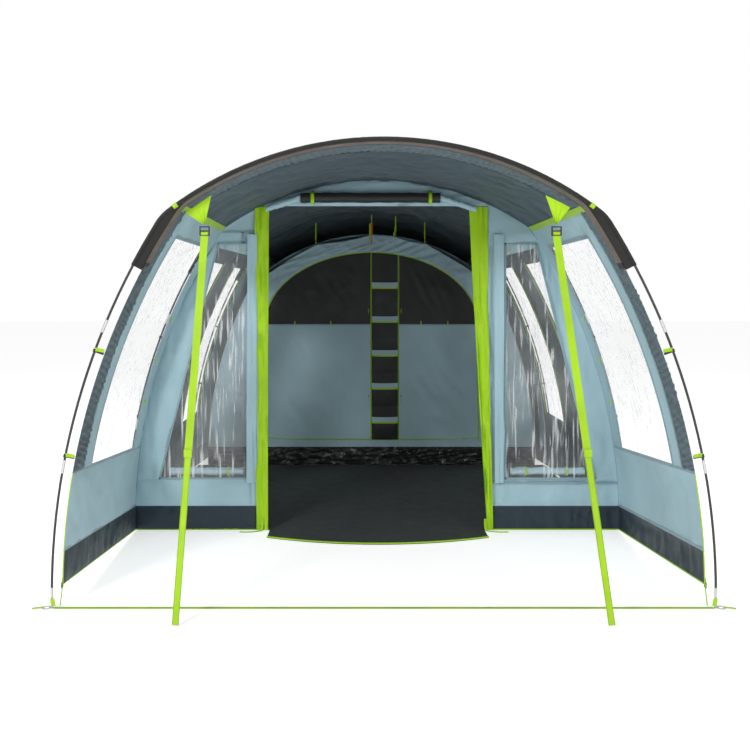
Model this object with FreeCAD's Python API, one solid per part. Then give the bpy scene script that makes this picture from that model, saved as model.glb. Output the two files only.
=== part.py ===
"""A four-arch tunnel tent with an open front porch, a living room and a hung inner bedroom.

The tent stands on the ground plane z = 0. X runs across it, Y runs from the porch to the rear and
Z is up. Each part is drawn with the front arch at y = 0, and is moved on export so that the origin
lies under the middle of the whole tent.
"""
import FreeCAD
import Part
import math
import os

Vec = FreeCAD.Vector

# ---------------------------------------------------------------- driving dimensions (mm, degrees)
ARCH_HEIGHT = 2097.0        # crown of an arch, at the pole's centre
TOP_R = 1598.0              # the crown's arc
SHOULDER_R = 186.0          # the arc that turns the crown into the side
SIDE_R = 3131.0             # the side's arc
SHOULDER_START = 37.1       # where the arcs meet, from the vertical
SHOULDER_END = 58.1

DOOR_Y = 1200.0             # the second arch, which holds the front wall
MIDDLE_Y = 3050.0           # the third arch, at the bedroom's front
REAR_Y = 5050.0             # the rear arch's feet
REAR_SCALE = 0.88           # the rear arch is lower and narrower
REAR_LEAN = 12.0            # and leans forward over the bedroom

POLE_R = 5.5
FERRULE_R = 6.6
FERRULE_LENGTH = 60.0
FIT_CLEARANCE = 0.05
SLEEVE_R = 9.5
SLEEVE_WALL = 1.5
SLEEVE_END_Z = 1530.0
JOINT_HEIGHTS = (1260.0, 632.0)
POLE_END_Z = 62.0
CLIP_HEIGHTS = (1150.0, 680.0)
CLIP_HALF = 7.0             # half a clip's width along the pole
CLIP_WALL = 3.0
CLIP_CLEARANCE = 0.4

FABRIC = 1.2
FILM = 0.6
GAP = 0.5                   # between neighbouring soft pieces
FLY_TOP_INSET = 10.0        # fly sheet under the pole at the crown
FLY_SIDE_INSET = 42.0       # and hung from clips at the sides
FLY_SHOULDER_R = 160.0
SEAM = 1.6                  # where the roof meets the side wall, on the shoulder arc
SKIRT_Z = 145.0
SKIRT_FOOT_Z = 2.0
ROOF_STOPS = (-SEAM, -1.0, -0.5, 0.0, 0.5, 1.0, SEAM)
SIDE_MIDDLE = 2.5           # the side arc's halfway place
ARCH_GAP = 4.0              # from an arch's plane to the fly sheet's panels
TAPE_THICK = 1.0
SHOULDER_TAPE = (1.45, 1.8)

RING_R = 20.0
RING_HOLE_R = 12.0
RING_THICK = 4.0
RING_REACH = 24.0           # from the pole's foot out to the ring's centre
LUG_R = 9.0
PIN_R = 4.5

EDGE_BAND_Y = 80.0
ROOF_HEM_Y = 270.0
SIDE_HEM_Y = 160.0
WINDOW_LAP = 10.0
WINDOW_GAP = 0.3
PORCH_FRONT = SLEEVE_R + GAP
PORCH_BACK = DOOR_Y - ARCH_GAP
HEM_FOOT_Z = 600.0
PANEL_BACK_Z = 500.0
SKIRT_FRONT_Z = 250.0
SKIRT_LIFT = 100.0
TOP_Z = 1850.0
REAR_EDGE = -SLEEVE_R - GAP     # the bedroom's fly sheet ends just before the rear sleeve
WINDOW_TOP_Z = 1680.0
WINDOW_BACK_STRIP = 146.0

DOOR_LEFT = -700.0          # the wall's edges beside the doorway
DOOR_RIGHT = 660.0
DOOR_TOP = 1930.0
TRIM_THICK = 3.0
TRIM_GAP = 2.0
TRIM_FOOT_Z = 6.0
TRIM_TOP_Z = 1925.0
LEFT_TRIM = [(-715.0, TRIM_FOOT_Z), (-648.0, TRIM_FOOT_Z), (-642.0, TRIM_TOP_Z), (-725.0, 1898.0)]
RIGHT_TRIM = [(652.0, TRIM_FOOT_Z), (688.0, TRIM_FOOT_Z), (655.0, TRIM_TOP_Z), (545.0, TRIM_TOP_Z)]
FRONT_WINDOW = [(760.0, 305.0), (1300.0, 305.0), (950.0, 1710.0), (760.0, 1710.0)]
CURTAIN_R = 26.0
CURTAIN_INNER_X = 800.0
CURTAIN_LENGTH = 440.0
CURTAIN_BEHIND = 32.0
CURTAIN_Z = 345.0

ROLL_R = 36.0
ROLL_Y = 1150.0
ROLL_Z = 1972.0
ROLL_LEFT = -452.0
ROLL_RIGHT = 369.0
TIE_X = (-381.0, 310.0)
TOGGLE_R = 5.0
TOGGLE_LENGTH = 36.0
TOGGLE_REACH = 11.0         # from the roll's surface to the toggle's middle
STUB_R = 2.5
STUB_LENGTH = 8.0
TIE_WIDTH = 20.0
TIE_OUTER = 2.0

LIVING_FRONT = DOOR_Y + ARCH_GAP
LIVING_BACK = MIDDLE_Y - ARCH_GAP
LIVING_PANES = ((1350.0, 1880.0), (2360.0, 2920.0))
LIVING_PANE_BASE = 450.0
LIVING_PANE_TOP = 1620.0

INNER_TOP_INSET = 190.0
INNER_SIDE_INSET = 130.0
INNER_SHOULDER_R = 150.0
INNER_Y = 3070.0
INNER_REAR_GAP = 70.0
TUB_Z = 150.0
INNER_DOOR_HALF = 880.0
INNER_DOOR_BASE = 215.0
INNER_ARCH_Z = 1160.0
INNER_ARCH_RISE = 600.0
STRIP_LEFT = 0.0            # the fixed strip between the two inner doors
STRIP_RIGHT = 220.0
FRONT_COLUMNS = (-1400.0, -880.0, -620.0, -330.0, 0.0, 220.0, 500.0, 700.0, 880.0, 1400.0)
DOOR_LEAF_Y = INNER_Y - 3.0
LEAF_GAP = 5.0
ZIP_OFFSET = 25.0           # from the fixed strip's edge to the sliders
SLIDER_HEIGHTS = (1300.0, 570.0)
SLIDER_HALF = (5.0, 8.0)    # half a slider's width and height
SLIDER_DEPTH = 5.0
PULL_HALF = 4.0
PULL_DROP = 52.0
PULL_SPAN = (4.0, 2.0)      # the pull's front and back, in front of the leaf
TUB_LOW_Z = 5.0
TUB_FLOOR = (2.5, 4.0)
ORGANISER_Z = (240.0, 1700.0)
ORGANISER_EDGE = 2.0
POCKET_TOPS = (1512.0, 1232.0, 953.0, 680.0, 400.0)
POCKET_HEIGHT = 190.0
POCKET_BAG = 14.0           # how far a pocket's foot stands out, then its top
POCKET_MOUTH = 9.0
POCKET_FOOT = 30.0
HANGER_X = (-460.0, 0.0, 200.0, 440.0)
HANGER_HALF = 5.0
HANGER_THICK = 1.5
HANGER_TOP_GAP = 18.0
HANGER_LOW_GAP = 1.6
LEAF_SHRINK = 2.0           # the leaf is smaller than the doorway by this on each side

STRAP_WIDTH = 34.0
STRAP_THICK = 2.0
STRAP_TOP_Z = 1665.0
STRAP_HINGE_Z = 1712.0
STRAP_TOP_Y = 60.0
STRAP_FOOT_Y = -205.0
STRAP_FOOT_Z = 4.0
STRAP_TOP_X = (-812.0, 786.0)
STRAP_FOOT_X = (-886.0, 954.0)
STRAP_TAIL_Z = 640.0
TAIL_GAP = 0.3
TAIL_NARROWER = 2.0
BUCKLE_HALF = 23.0
BUCKLE_SLOT_HALF = 18.0
BUCKLE_HALF_DEPTH = 4.0
BUCKLE_BARS = 3
BUCKLE_BAR = 5.0
BUCKLE_MARGIN = 2.0
TRIANGLE_BEHIND = 8.0
LEFT_TRIANGLE = [(-899.0, 1772.0), (-783.0, 1852.0), (-812.0, STRAP_HINGE_Z + BUCKLE_MARGIN)]
RIGHT_TRIANGLE = [(738.0, 1852.0), (850.0, 1796.0), (786.0, STRAP_HINGE_Z + BUCKLE_MARGIN)]

GROUND_TAPE_HALF = 11.0
WEBBING = 1.5
TAPE_EYELET_X = (-500.0, 469.0)
EYELET_R = 6.0
EYELET_RIM_R = 9.0
EYELET_THICK = 2.5
CORNER_INSET = 5.5          # from the side wall's outer face to a corner buckle's middle
CORNER_STRAP_WIDTH = 12.0
CORNER_STRAP_INSET = 4.0
CORNER_BUCKLE_HALF = (3.0, 12.0, 13.0)
FOOT_BUCKLE = (26.0, 8.0, 30.0)
FOOT_BUCKLE_Y = DOOR_Y - 16.0
FOOT_BUCKLE_Z = 8.0

GROUND_HALF = 1430.0
GROUND_THICK = 1.5
APRON_HALF = 640.0
APRON_SIDE_Y = 1050.0
APRON_FRONT_Y = 920.0
PIPING_R = 4.0
SHEET_GAP = 10.0            # from the groundsheet to the bedroom's tub

ARCHES = {"front": 0.0, "door": DOOR_Y, "middle": MIDDLE_Y}
FAR = 2200.0                # beyond the tent on every side


# ---------------------------------------------------------------------------------- arch outline
class Outline:
    """The tent's cross-section: a crown arc, and a shoulder and a side arc on each side.

    A place on it is a number t: 0 at the crown, 1 where the shoulder starts, 2 where the side
    starts and 3 at the ground, negative on the left.
    """

    def __init__(self, scale=1.0, top_inset=0.0, side_inset=0.0, shoulder_r=SHOULDER_R):
        start = math.radians(SHOULDER_START)
        end = math.radians(SHOULDER_END)
        reach = TOP_R - SHOULDER_R
        crown = (0.0, (ARCH_HEIGHT - TOP_R) * scale)
        knee = (reach * math.sin(start) * scale, crown[1] + reach * math.cos(start) * scale)
        drop = (SIDE_R - SHOULDER_R) * scale
        side = (knee[0] - drop * math.sin(end), knee[1] - drop * math.cos(end))
        self.top_r = TOP_R * scale - top_inset
        self.side_r = SIDE_R * scale - side_inset
        self.shoulder_r = shoulder_r * scale
        self.crown = crown
        self.side = side
        self.knee = self.meet(self.top_r - self.shoulder_r, self.side_r - self.shoulder_r)
        self.start = math.atan2(self.knee[0] - crown[0], self.knee[1] - crown[1])
        self.end = math.atan2(self.knee[0] - side[0], self.knee[1] - side[1])
        self.foot = math.acos(-side[1] / self.side_r)

    def meet(self, a, b):
        """The shoulder's centre: a from the crown's centre and b from the side's, the upper one."""
        dx = self.side[0] - self.crown[0]
        dz = self.side[1] - self.crown[1]
        d = math.hypot(dx, dz)
        along = (a * a - b * b + d * d) / (2.0 * d)
        off = math.sqrt(a * a - along * along)
        foot = (self.crown[0] + along * dx / d, self.crown[1] + along * dz / d)
        options = [(foot[0] - s * off * dz / d, foot[1] + s * off * dx / d) for s in (1.0, -1.0)]
        return max(options, key=lambda centre: centre[1])

    def arc(self, t):
        """Centre, radius and first and last angle of the arc that holds t (t >= 0)."""
        if t < 1.0:
            return self.crown, self.top_r, 0.0, self.start, 0.0
        if t < 2.0:
            return self.knee, self.shoulder_r, self.start, self.end, 1.0
        return self.side, self.side_r, self.end, self.foot, 2.0

    def t_at(self, z):
        """The place on the side arc at this height."""
        angle = math.acos((z - self.side[1]) / self.side_r)
        return 2.0 + (angle - self.end) / (self.foot - self.end)

    def point(self, t, inset, middle=None):
        """A point on the outline; middle, a place inside the same arc, says which arc is meant."""
        sign = -1.0 if (middle if middle is not None else t) < 0 else 1.0
        centre, radius, first, last, base = self.arc(abs(middle if middle is not None else t))
        angle = first + (abs(t) - base) * (last - first)
        r = radius - inset
        return Vec(sign * (centre[0] + r * math.sin(angle)), 0, centre[1] + r * math.cos(angle))

    def edge(self, t0, t1, inset):
        middle = 0.5 * (t0 + t1)
        ends = [self.point(t, inset, middle) for t in (t0, middle, t1)]
        return Part.Arc(*ends).toShape()

    def cell(self, t0, t1, inset, depth):
        """A closed wire round the band from t0 to t1, which lie on one arc."""
        outer = self.edge(t0, t1, inset)
        inner = self.edge(t1, t0, inset + depth)
        middle = 0.5 * (t0 + t1)
        ends = [self.point(t, i, middle) for t in (t1, t0) for i in (inset, inset + depth)]
        near = Part.LineSegment(ends[0], ends[1]).toShape()
        far = Part.LineSegment(ends[3], ends[2]).toShape()
        return Part.Wire([outer, near, inner, far])

    def closed(self, inset):
        """The whole outline down to the ground, closed along the base."""
        stops = (-3, -2, -1, 0, 1, 2, 3)
        edges = [self.edge(a, b, inset) for a, b in zip(stops, stops[1:])]
        left = self.point(-3, inset, -2.5)
        right = self.point(3, inset, 2.5)
        edges.append(Part.LineSegment(right, left).toShape())
        return Part.Wire(edges)

    def tube(self, t0, t1, outer_r, inner_r=0.0):
        """A round rod or tube along the outline from t0 to t1 on the right."""
        stops = [t0] + [s for s in (1, 2) if t0 < s < t1] + [t1]
        spans = []
        for a, b in zip(stops, stops[1:]):
            centre, radius, first, last, base = self.arc(0.5 * (a + b))
            turn = (b - a) * (last - first)
            start = self.point(a, 0, 0.5 * (a + b))
            angle = first + (a - base) * (last - first)
            along = Vec(math.cos(angle), 0, -math.sin(angle))
            face = Part.Face(Part.Wire(Part.makeCircle(outer_r, start, along)))
            if inner_r:
                face = face.cut(Part.Face(Part.Wire(Part.makeCircle(inner_r, start, along))))
            axis = Vec(centre[0], 0, centre[1])
            spans.append(face.revolve(axis, Vec(0, 1, 0), math.degrees(turn)).Solids[0])
        return spans[0] if len(spans) == 1 else spans[0].fuse(spans[1:]).Solids[0]

    def length_of(self, t):
        """Arc length in each unit of t near here."""
        _, radius, first, last, _ = self.arc(t)
        return radius * (last - first)


POLE = Outline()
FLY = Outline(1.0, FLY_TOP_INSET, FLY_SIDE_INSET, FLY_SHOULDER_R)
INNER = Outline(1.0, INNER_TOP_INSET, INNER_SIDE_INSET, INNER_SHOULDER_R)
REAR_POLE = Outline(REAR_SCALE)
REAR_FLY = Outline(REAR_SCALE, FLY_TOP_INSET, FLY_SIDE_INSET, FLY_SHOULDER_R)
REAR_INNER = Outline(REAR_SCALE, INNER_TOP_INSET, INNER_SIDE_INSET, INNER_SHOULDER_R)


# --------------------------------------------------------------------------------------- helpers
def mirrored(shape):
    return shape.mirror(Vec(0, 0, 0), Vec(1, 0, 0))


def both(shape):
    """The right-hand shape and its mirror image."""
    return [mirrored(shape), shape]


def moved(shape, x=0.0, y=0.0, z=0.0):
    copy = shape.copy()
    copy.translate(Vec(x, y, z))
    return copy


def leaned(shape, y=0.0):
    """Into the rear arch's plane, y behind it."""
    copy = moved(shape, y=y)
    copy.rotate(Vec(0, 0, 0), Vec(1, 0, 0), REAR_LEAN)
    copy.translate(Vec(0, REAR_Y, 0))
    return copy


def rear_height(z, y=0.0):
    """The height in the rear arch's plane of a point that stands z above the ground."""
    lean = math.radians(REAR_LEAN)
    return (z - y * math.sin(lean)) / math.cos(lean)


def pieces(shape):
    return list(shape.Solids)


def strips(outline, stops, inset, depth, y0, y1):
    """One solid for each pair of stops, as long as the stretch from y0 to y1."""
    made = []
    for a, b in zip(stops, stops[1:]):
        face = Part.Face(outline.cell(a, b, inset, depth))
        made.append(moved(face.extrude(Vec(0, y1 - y0, 0)), y=y0))
    return made


def tapered(front, rear, stops, rear_stops, inset, depth, y0, rear_y):
    """Strips from the upright section at y0 back to the leaning rear section."""
    made = []
    for k in range(len(stops) - 1):
        near = moved(front.cell(stops[k], stops[k + 1], inset, depth), y=y0)
        far = leaned(rear.cell(rear_stops[k], rear_stops[k + 1], inset, depth), rear_y)
        made.append(Part.makeLoft([near, far], True, True))
    return made


def prism(corners, axis, low, high):
    """A prism over a polygon. axis is the letter of its length; corners are in the other two."""
    place = {
        "X": lambda a, b: Vec(low, a, b),
        "Y": lambda a, b: Vec(a, low, b),
        "Z": lambda a, b: Vec(a, b, low),
    }[axis]
    along = {"X": Vec(1, 0, 0), "Y": Vec(0, 1, 0), "Z": Vec(0, 0, 1)}[axis]
    loop = [place(a, b) for a, b in corners]
    face = Part.Face(Part.makePolygon(loop + loop[:1]))
    return face.extrude(along * (high - low))


def box(x0, x1, y0, y1, z0, z1):
    return Part.makeBox(x1 - x0, y1 - y0, z1 - z0, Vec(x0, y0, z0))


def side_pieces(areas, inset, depth, y0, y1, hole=None):
    """Right-hand side wall pieces cut to each (y, z) polygon in areas."""
    wall = strips(FLY, (SEAM, 2), inset, depth, y0, y1) + strips(FLY, (2, 3), inset, depth, y0, y1)
    whole = wall[0].fuse(wall[1])
    made = []
    for corners in areas:
        cutter = prism(corners, "X", 0.0, 2000.0)
        if hole:
            cutter = cutter.cut(prism(hole, "X", -1.0, 2001.0))
        made += pieces(whole.common(cutter))
    return made


def grown(corners, by):
    """The polygon with each corner moved out from its middle."""
    a = sum(c[0] for c in corners) / len(corners)
    b = sum(c[1] for c in corners) / len(corners)
    return [(p + math.copysign(by, p - a), q + math.copysign(by, q - b)) for p, q in corners]


def bar(start, end, width, thick, across=Vec(1, 0, 0), shift=0.0):
    """A flat bar between two points; shift moves it along its thickness."""
    along = (end - start).normalize()
    wide = (across - along * across.dot(along)).normalize()
    thin = along.cross(wide)
    corners = []
    for a, b in ((-1, -1), (1, -1), (1, 1), (-1, 1)):
        corners.append(start + wide * (a * width / 2) + thin * (b * thick / 2 + shift))
    face = Part.Face(Part.makePolygon(corners + corners[:1]))
    return face.extrude(end - start)


# ---------------------------------------------------------------------------------- poles
def joint_places(outline, scale):
    """Where two pole sections meet, on the right, from the crown down."""
    return [0.5, 1.0] + [outline.t_at(z * scale) for z in JOINT_HEIGHTS]


def pole_sections(outline, scale):
    stops = [0.0] + joint_places(outline, scale) + [outline.t_at(POLE_END_Z)]
    sections = []
    for k in range(len(stops) - 1):
        back = GAP / 2 / outline.length_of(stops[k] + 0.01)
        fore = GAP / 2 / outline.length_of(stops[k + 1] - 0.01)
        sections += both(outline.tube(stops[k] + back, stops[k + 1] - fore, POLE_R))
    return sections


def ferrules(outline, scale):
    inner_r = POLE_R + FIT_CLEARANCE
    half = FERRULE_LENGTH / 2
    made = []
    for t in joint_places(outline, scale):
        back = half / outline.length_of(t - 0.01)
        fore = half / outline.length_of(t + 0.01)
        made += both(outline.tube(t - back, t + fore, FERRULE_R, inner_r))
    crown = outline.tube(0.0, half / outline.length_of(0.0), FERRULE_R, inner_r)
    made.append(crown.fuse(mirrored(crown)).Solids[0])
    low = outline.t_at(POLE_END_Z - 40.0)
    high = outline.t_at(POLE_END_Z + 30.0)
    made += both(outline.tube(high, low, FERRULE_R, inner_r))
    return made


def sleeve(outline, scale):
    end = outline.t_at(SLEEVE_END_Z * scale)
    half = outline.tube(0.0, end, SLEEVE_R, SLEEVE_R - SLEEVE_WALL)
    return [half.fuse(mirrored(half)).Solids[0]]


def foot_pin(outline):
    """The pin inside the pole's end, in the arch's own plane."""
    x = outline.point(3, 0, 2.5).x
    return Part.makeCylinder(PIN_R, POLE_END_Z - 4.0, Vec(x, 0, 2.0), Vec(0, 0, 1))


def foot_ring(outline, y):
    """The flat peg ring outside the pole's foot, with the lug that the pin stands on."""
    foot_x = outline.point(3, 0, 2.5).x
    x = foot_x + RING_REACH
    rim = Part.makeCylinder(RING_R, RING_THICK, Vec(x, y, 0), Vec(0, 0, 1))
    lug = Part.makeCylinder(LUG_R, RING_THICK, Vec(foot_x, y, 0), Vec(0, 0, 1))
    hole = Part.makeCylinder(RING_HOLE_R, RING_THICK, Vec(x, y, 0), Vec(0, 0, 1))
    return rim.fuse(lug).cut(hole)


def foot_rings():
    made = []
    for y in (0.0, DOOR_Y, MIDDLE_Y):
        made += both(foot_ring(POLE, y).fuse(moved(foot_pin(POLE), y=y)).Solids[0])
    made += both(foot_ring(REAR_POLE, REAR_Y).fuse(leaned(foot_pin(REAR_POLE))).Solids[0])
    return made


def pole_clip(outline, z):
    """A hook round the pole and the tab that joins it to the side wall, in the arch's plane."""
    t = outline.t_at(z)
    centre = outline.point(t, 0)
    inward = (outline.point(t, 10) - centre).normalize()
    along = inward.cross(Vec(0, 1, 0))
    width = 2 * CLIP_HALF
    foot = centre - along * CLIP_HALF
    hook = Part.makeCylinder(POLE_R + CLIP_WALL, width, foot, along)
    hook = hook.cut(Part.makeCylinder(POLE_R + CLIP_CLEARANCE, width, foot, along))
    start = centre + inward * (POLE_R + CLIP_WALL / 2)
    end = centre + inward * (FLY_SIDE_INSET - GAP)
    tab = bar(start, end, width, CLIP_WALL, along)
    return hook.fuse(tab).Solids[0]


def pole_clips():
    made = []
    for z in CLIP_HEIGHTS:
        for y in (0.0, DOOR_Y, MIDDLE_Y):
            made += both(moved(pole_clip(POLE, z), y=y))
        made += both(leaned(pole_clip(REAR_POLE, z * REAR_SCALE)))
    return made


# ---------------------------------------------------------------------------------- porch
def front_edge_band():
    end = FLY.t_at(SLEEVE_END_Z)
    stops = (-end, -2.0, -1.0, -0.5, 0.0, 0.5, 1.0, 2.0, end)
    return strips(FLY, stops, 0.0, FABRIC, SLEEVE_R + GAP, EDGE_BAND_Y)


def roof_hem_band():
    return strips(FLY, ROOF_STOPS, 0.0, FABRIC, EDGE_BAND_Y + GAP, ROOF_HEM_Y)


def porch_roof():
    return strips(FLY, ROOF_STOPS, 0.0, FABRIC, ROOF_HEM_Y + GAP, PORCH_BACK)


def porch_line(y, front_z, back_z):
    """Height at y on a straight seam from the porch's front to its back."""
    share = (y - PORCH_FRONT) / (PORCH_BACK - PORCH_FRONT)
    return front_z + share * (back_z - front_z)


def window_line(y):
    return porch_line(y, HEM_FOOT_Z, PANEL_BACK_Z)


def skirt_line(y):
    return porch_line(y, SKIRT_FRONT_Z, SKIRT_Z)


def porch_window_area():
    front = ROOF_HEM_Y
    back = PORCH_BACK - WINDOW_BACK_STRIP
    return [(front, window_line(front)), (back, window_line(back)), (back, WINDOW_TOP_Z),
            (front, WINDOW_TOP_Z)]


def porch_hems():
    high = SLEEVE_END_Z
    step = EDGE_BAND_Y + GAP
    low = [(PORCH_FRONT, HEM_FOOT_Z), (SIDE_HEM_Y, window_line(SIDE_HEM_Y)), (SIDE_HEM_Y, high - GAP),
           (PORCH_FRONT, high - GAP)]
    upper = [(step, high), (SIDE_HEM_Y, high), (SIDE_HEM_Y, TOP_Z), (step, TOP_Z)]
    made = []
    for piece in side_pieces([low, upper], 0.0, FABRIC, PORCH_FRONT, SIDE_HEM_Y):
        made += both(piece)
    return made


def porch_side():
    window = porch_window_area()
    front = SIDE_HEM_Y + GAP
    w0, w1 = window[0][0], window[1][0]
    strip = [(front, window_line(front)), (w0, window_line(w0)), (w0, TOP_Z), (front, TOP_Z)]
    head = [(w0, WINDOW_TOP_Z), (w1, WINDOW_TOP_Z), (w1, TOP_Z), (w0, TOP_Z)]
    back = [(w1, window_line(w1)), (PORCH_BACK, PANEL_BACK_Z), (PORCH_BACK, TOP_Z), (w1, TOP_Z)]
    low = [(PORCH_FRONT, skirt_line(PORCH_FRONT) + GAP), (PORCH_BACK, SKIRT_Z + GAP),
           (PORCH_BACK, PANEL_BACK_Z), (PORCH_FRONT, HEM_FOOT_Z)]
    return side_pieces([strip, head, back, low], 0.0, FABRIC, PORCH_FRONT, PORCH_BACK)


def porch_windows():
    area = grown(porch_window_area(), WINDOW_LAP)
    made = []
    for piece in side_pieces([area], FABRIC + WINDOW_GAP, FILM, PORCH_FRONT, PORCH_BACK):
        made += both(piece)
    return made


def porch_skirts():
    area = [(PORCH_FRONT, SKIRT_LIFT), (PORCH_BACK, SKIRT_FOOT_Z), (PORCH_BACK, SKIRT_Z),
            (PORCH_FRONT, SKIRT_FRONT_Z)]
    made = []
    for piece in side_pieces([area], 0.0, FABRIC, PORCH_FRONT, PORCH_BACK):
        made += both(piece)
    return made


def shoulder_tapes():
    made = []
    inset = FABRIC + WINDOW_GAP
    for piece in strips(FLY, SHOULDER_TAPE, inset, TAPE_THICK, EDGE_BAND_Y, PORCH_BACK - ARCH_GAP):
        made += both(piece)
    return made


# ---------------------------------------------------------------------------------- front wall
def wall_blank():
    """A flat sheet that fills the section under the fly at the second arch."""
    face = Part.Face(FLY.closed(FABRIC + GAP))
    return moved(face.extrude(Vec(0, FABRIC, 0)), y=DOOR_Y)


def front_wall():
    blank = wall_blank()
    y0, y1 = DOOR_Y - 5.0, DOOR_Y + 5.0
    window = prism(FRONT_WINDOW, "Y", y0, y1)
    base = SKIRT_Z + GAP
    left = blank.common(box(-FAR, DOOR_LEFT, y0, y1, base, FAR)).cut(mirrored(window))
    right = blank.common(box(DOOR_RIGHT, FAR, y0, y1, base, FAR)).cut(window)
    above = blank.common(box(DOOR_LEFT, DOOR_RIGHT, y0, y1, DOOR_TOP, FAR))
    return pieces(left) + pieces(right) + pieces(above)


def front_skirts():
    blank = wall_blank()
    left = blank.common(box(-FAR, DOOR_LEFT, 0, FAR, SKIRT_FOOT_Z, SKIRT_Z))
    right = blank.common(box(DOOR_RIGHT, FAR, 0, FAR, SKIRT_FOOT_Z, SKIRT_Z))
    return pieces(left) + pieces(right)


def front_windows():
    y0 = DOOR_Y + FABRIC + WINDOW_GAP
    area = grown(FRONT_WINDOW, WINDOW_LAP)
    return both(prism(area, "Y", y0, y0 + FILM))


def door_trims():
    y1 = DOOR_Y - TRIM_GAP
    return [prism(trim, "Y", y1 - TRIM_THICK, y1) for trim in (LEFT_TRIM, RIGHT_TRIM)]


def rolled_door():
    length = ROLL_RIGHT - ROLL_LEFT
    return [Part.makeCylinder(ROLL_R, length, Vec(ROLL_LEFT, ROLL_Y, ROLL_Z), Vec(1, 0, 0))]


def door_ties():
    made = []
    for x in TIE_X:
        start = Vec(x - TIE_WIDTH / 2, ROLL_Y, ROLL_Z)
        band = Part.makeCylinder(ROLL_R + TIE_OUTER, TIE_WIDTH, start, Vec(1, 0, 0))
        bore = Part.makeCylinder(ROLL_R + GAP, TIE_WIDTH, start, Vec(1, 0, 0))
        made += pieces(band.cut(bore))
    return made


def door_toggle(x):
    """A round bar across the tie's loop, on its own stub."""
    y = ROLL_Y - ROLL_R - TOGGLE_REACH
    start = Vec(x, y, ROLL_Z - TOGGLE_LENGTH / 2)
    bar_part = Part.makeCylinder(TOGGLE_R, TOGGLE_LENGTH, start, Vec(0, 0, 1))
    stub = Part.makeCylinder(STUB_R, STUB_LENGTH, Vec(x, y, ROLL_Z), Vec(0, 1, 0))
    return [bar_part.fuse(stub).Solids[0]]


def window_curtains():
    start = Vec(CURTAIN_INNER_X, DOOR_Y + CURTAIN_BEHIND, CURTAIN_Z)
    return both(Part.makeCylinder(CURTAIN_R, CURTAIN_LENGTH, start, Vec(1, 0, 0)))


# ---------------------------------------------------------------------------------- living room
def living_roof():
    return strips(FLY, ROOF_STOPS, 0.0, FABRIC, LIVING_FRONT, LIVING_BACK)


def upright(y0, y1, z0, z1):
    """The corners of a plain (y, z) area."""
    return [(y0, z0), (y1, z0), (y1, z1), (y0, z1)]


def living_sides():
    """Each side round its two tall windows."""
    y0, y1 = LIVING_FRONT, LIVING_BACK
    (a, b), (c, d) = LIVING_PANES
    areas = [upright(y0, y1, SKIRT_Z + GAP, LIVING_PANE_BASE),
             upright(y0, y1, LIVING_PANE_TOP, TOP_Z)]
    for near, far in ((y0, a), (b, c), (d, y1)):
        areas.append(upright(near, far, LIVING_PANE_BASE, LIVING_PANE_TOP))
    made = []
    for piece in side_pieces(areas, 0.0, FABRIC, y0, y1):
        made += both(piece)
    return made


def living_windows():
    areas = []
    for near, far in LIVING_PANES:
        areas.append(grown(upright(near, far, LIVING_PANE_BASE, LIVING_PANE_TOP), WINDOW_LAP))
    made = []
    for piece in side_pieces(areas, FABRIC + WINDOW_GAP, FILM, LIVING_FRONT, LIVING_BACK):
        made += both(piece)
    return made


def apron_arc(inset):
    """The groundsheet's curved front edge, seen from above."""
    ends = [Vec(-APRON_HALF + inset, APRON_SIDE_Y, 0), Vec(0, APRON_FRONT_Y + inset, 0),
            Vec(APRON_HALF - inset, APRON_SIDE_Y, 0)]
    return Part.Arc(*ends).toShape()


def groundsheet():
    back = INNER_Y - SHEET_GAP
    corners = [Vec(APRON_HALF, APRON_SIDE_Y, 0), Vec(APRON_HALF, DOOR_Y, 0),
               Vec(GROUND_HALF, DOOR_Y + 6.0, 0), Vec(GROUND_HALF, back, 0),
               Vec(-GROUND_HALF, back, 0), Vec(-GROUND_HALF, DOOR_Y + 6.0, 0),
               Vec(-APRON_HALF, DOOR_Y, 0), Vec(-APRON_HALF, APRON_SIDE_Y, 0)]
    edges = [Part.LineSegment(a, b).toShape() for a, b in zip(corners, corners[1:])]
    sheet = Part.Face(Part.Wire([apron_arc(0.0)] + edges))
    return [sheet.extrude(Vec(0, 0, GROUND_THICK))]


def sill_piping():
    """A piped edge along the apron, lying on the groundsheet."""
    path = moved(apron_arc(PIPING_R + 1.0), z=GROUND_THICK + PIPING_R + GAP)
    curve = path.Curve
    start = path.valueAt(path.FirstParameter)
    tangent = path.tangentAt(path.FirstParameter)
    face = Part.Face(Part.Wire(Part.makeCircle(PIPING_R, start, tangent)))
    turn = math.degrees(path.Length / curve.Radius)
    solid = face.revolve(curve.Center, curve.Axis, turn)
    return pieces(solid)


# ---------------------------------------------------------------------------------- rear fly sheet
def bedroom_roof():
    return tapered(FLY, REAR_FLY, ROOF_STOPS, ROOF_STOPS, 0.0, FABRIC, MIDDLE_Y + ARCH_GAP,
                   REAR_EDGE)


def bedroom_sides():
    base = SKIRT_Z + GAP
    stops = (SEAM, 2.0, SIDE_MIDDLE, FLY.t_at(base))
    rear_stops = (SEAM, 2.0, SIDE_MIDDLE, REAR_FLY.t_at(rear_height(base, REAR_EDGE)))
    made = []
    for piece in tapered(FLY, REAR_FLY, stops, rear_stops, 0.0, FABRIC, MIDDLE_Y + ARCH_GAP,
                         REAR_EDGE):
        made += both(piece)
    return made


def rear_blank():
    face = Part.Face(REAR_FLY.closed(0.0))
    return face.extrude(Vec(0, FABRIC, 0))


def rear_wall():
    panel = rear_blank().common(box(-FAR, FAR, -5, 5, rear_height(SKIRT_Z + GAP), FAR))
    return [leaned(piece, GAP) for piece in panel.Solids]


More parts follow.
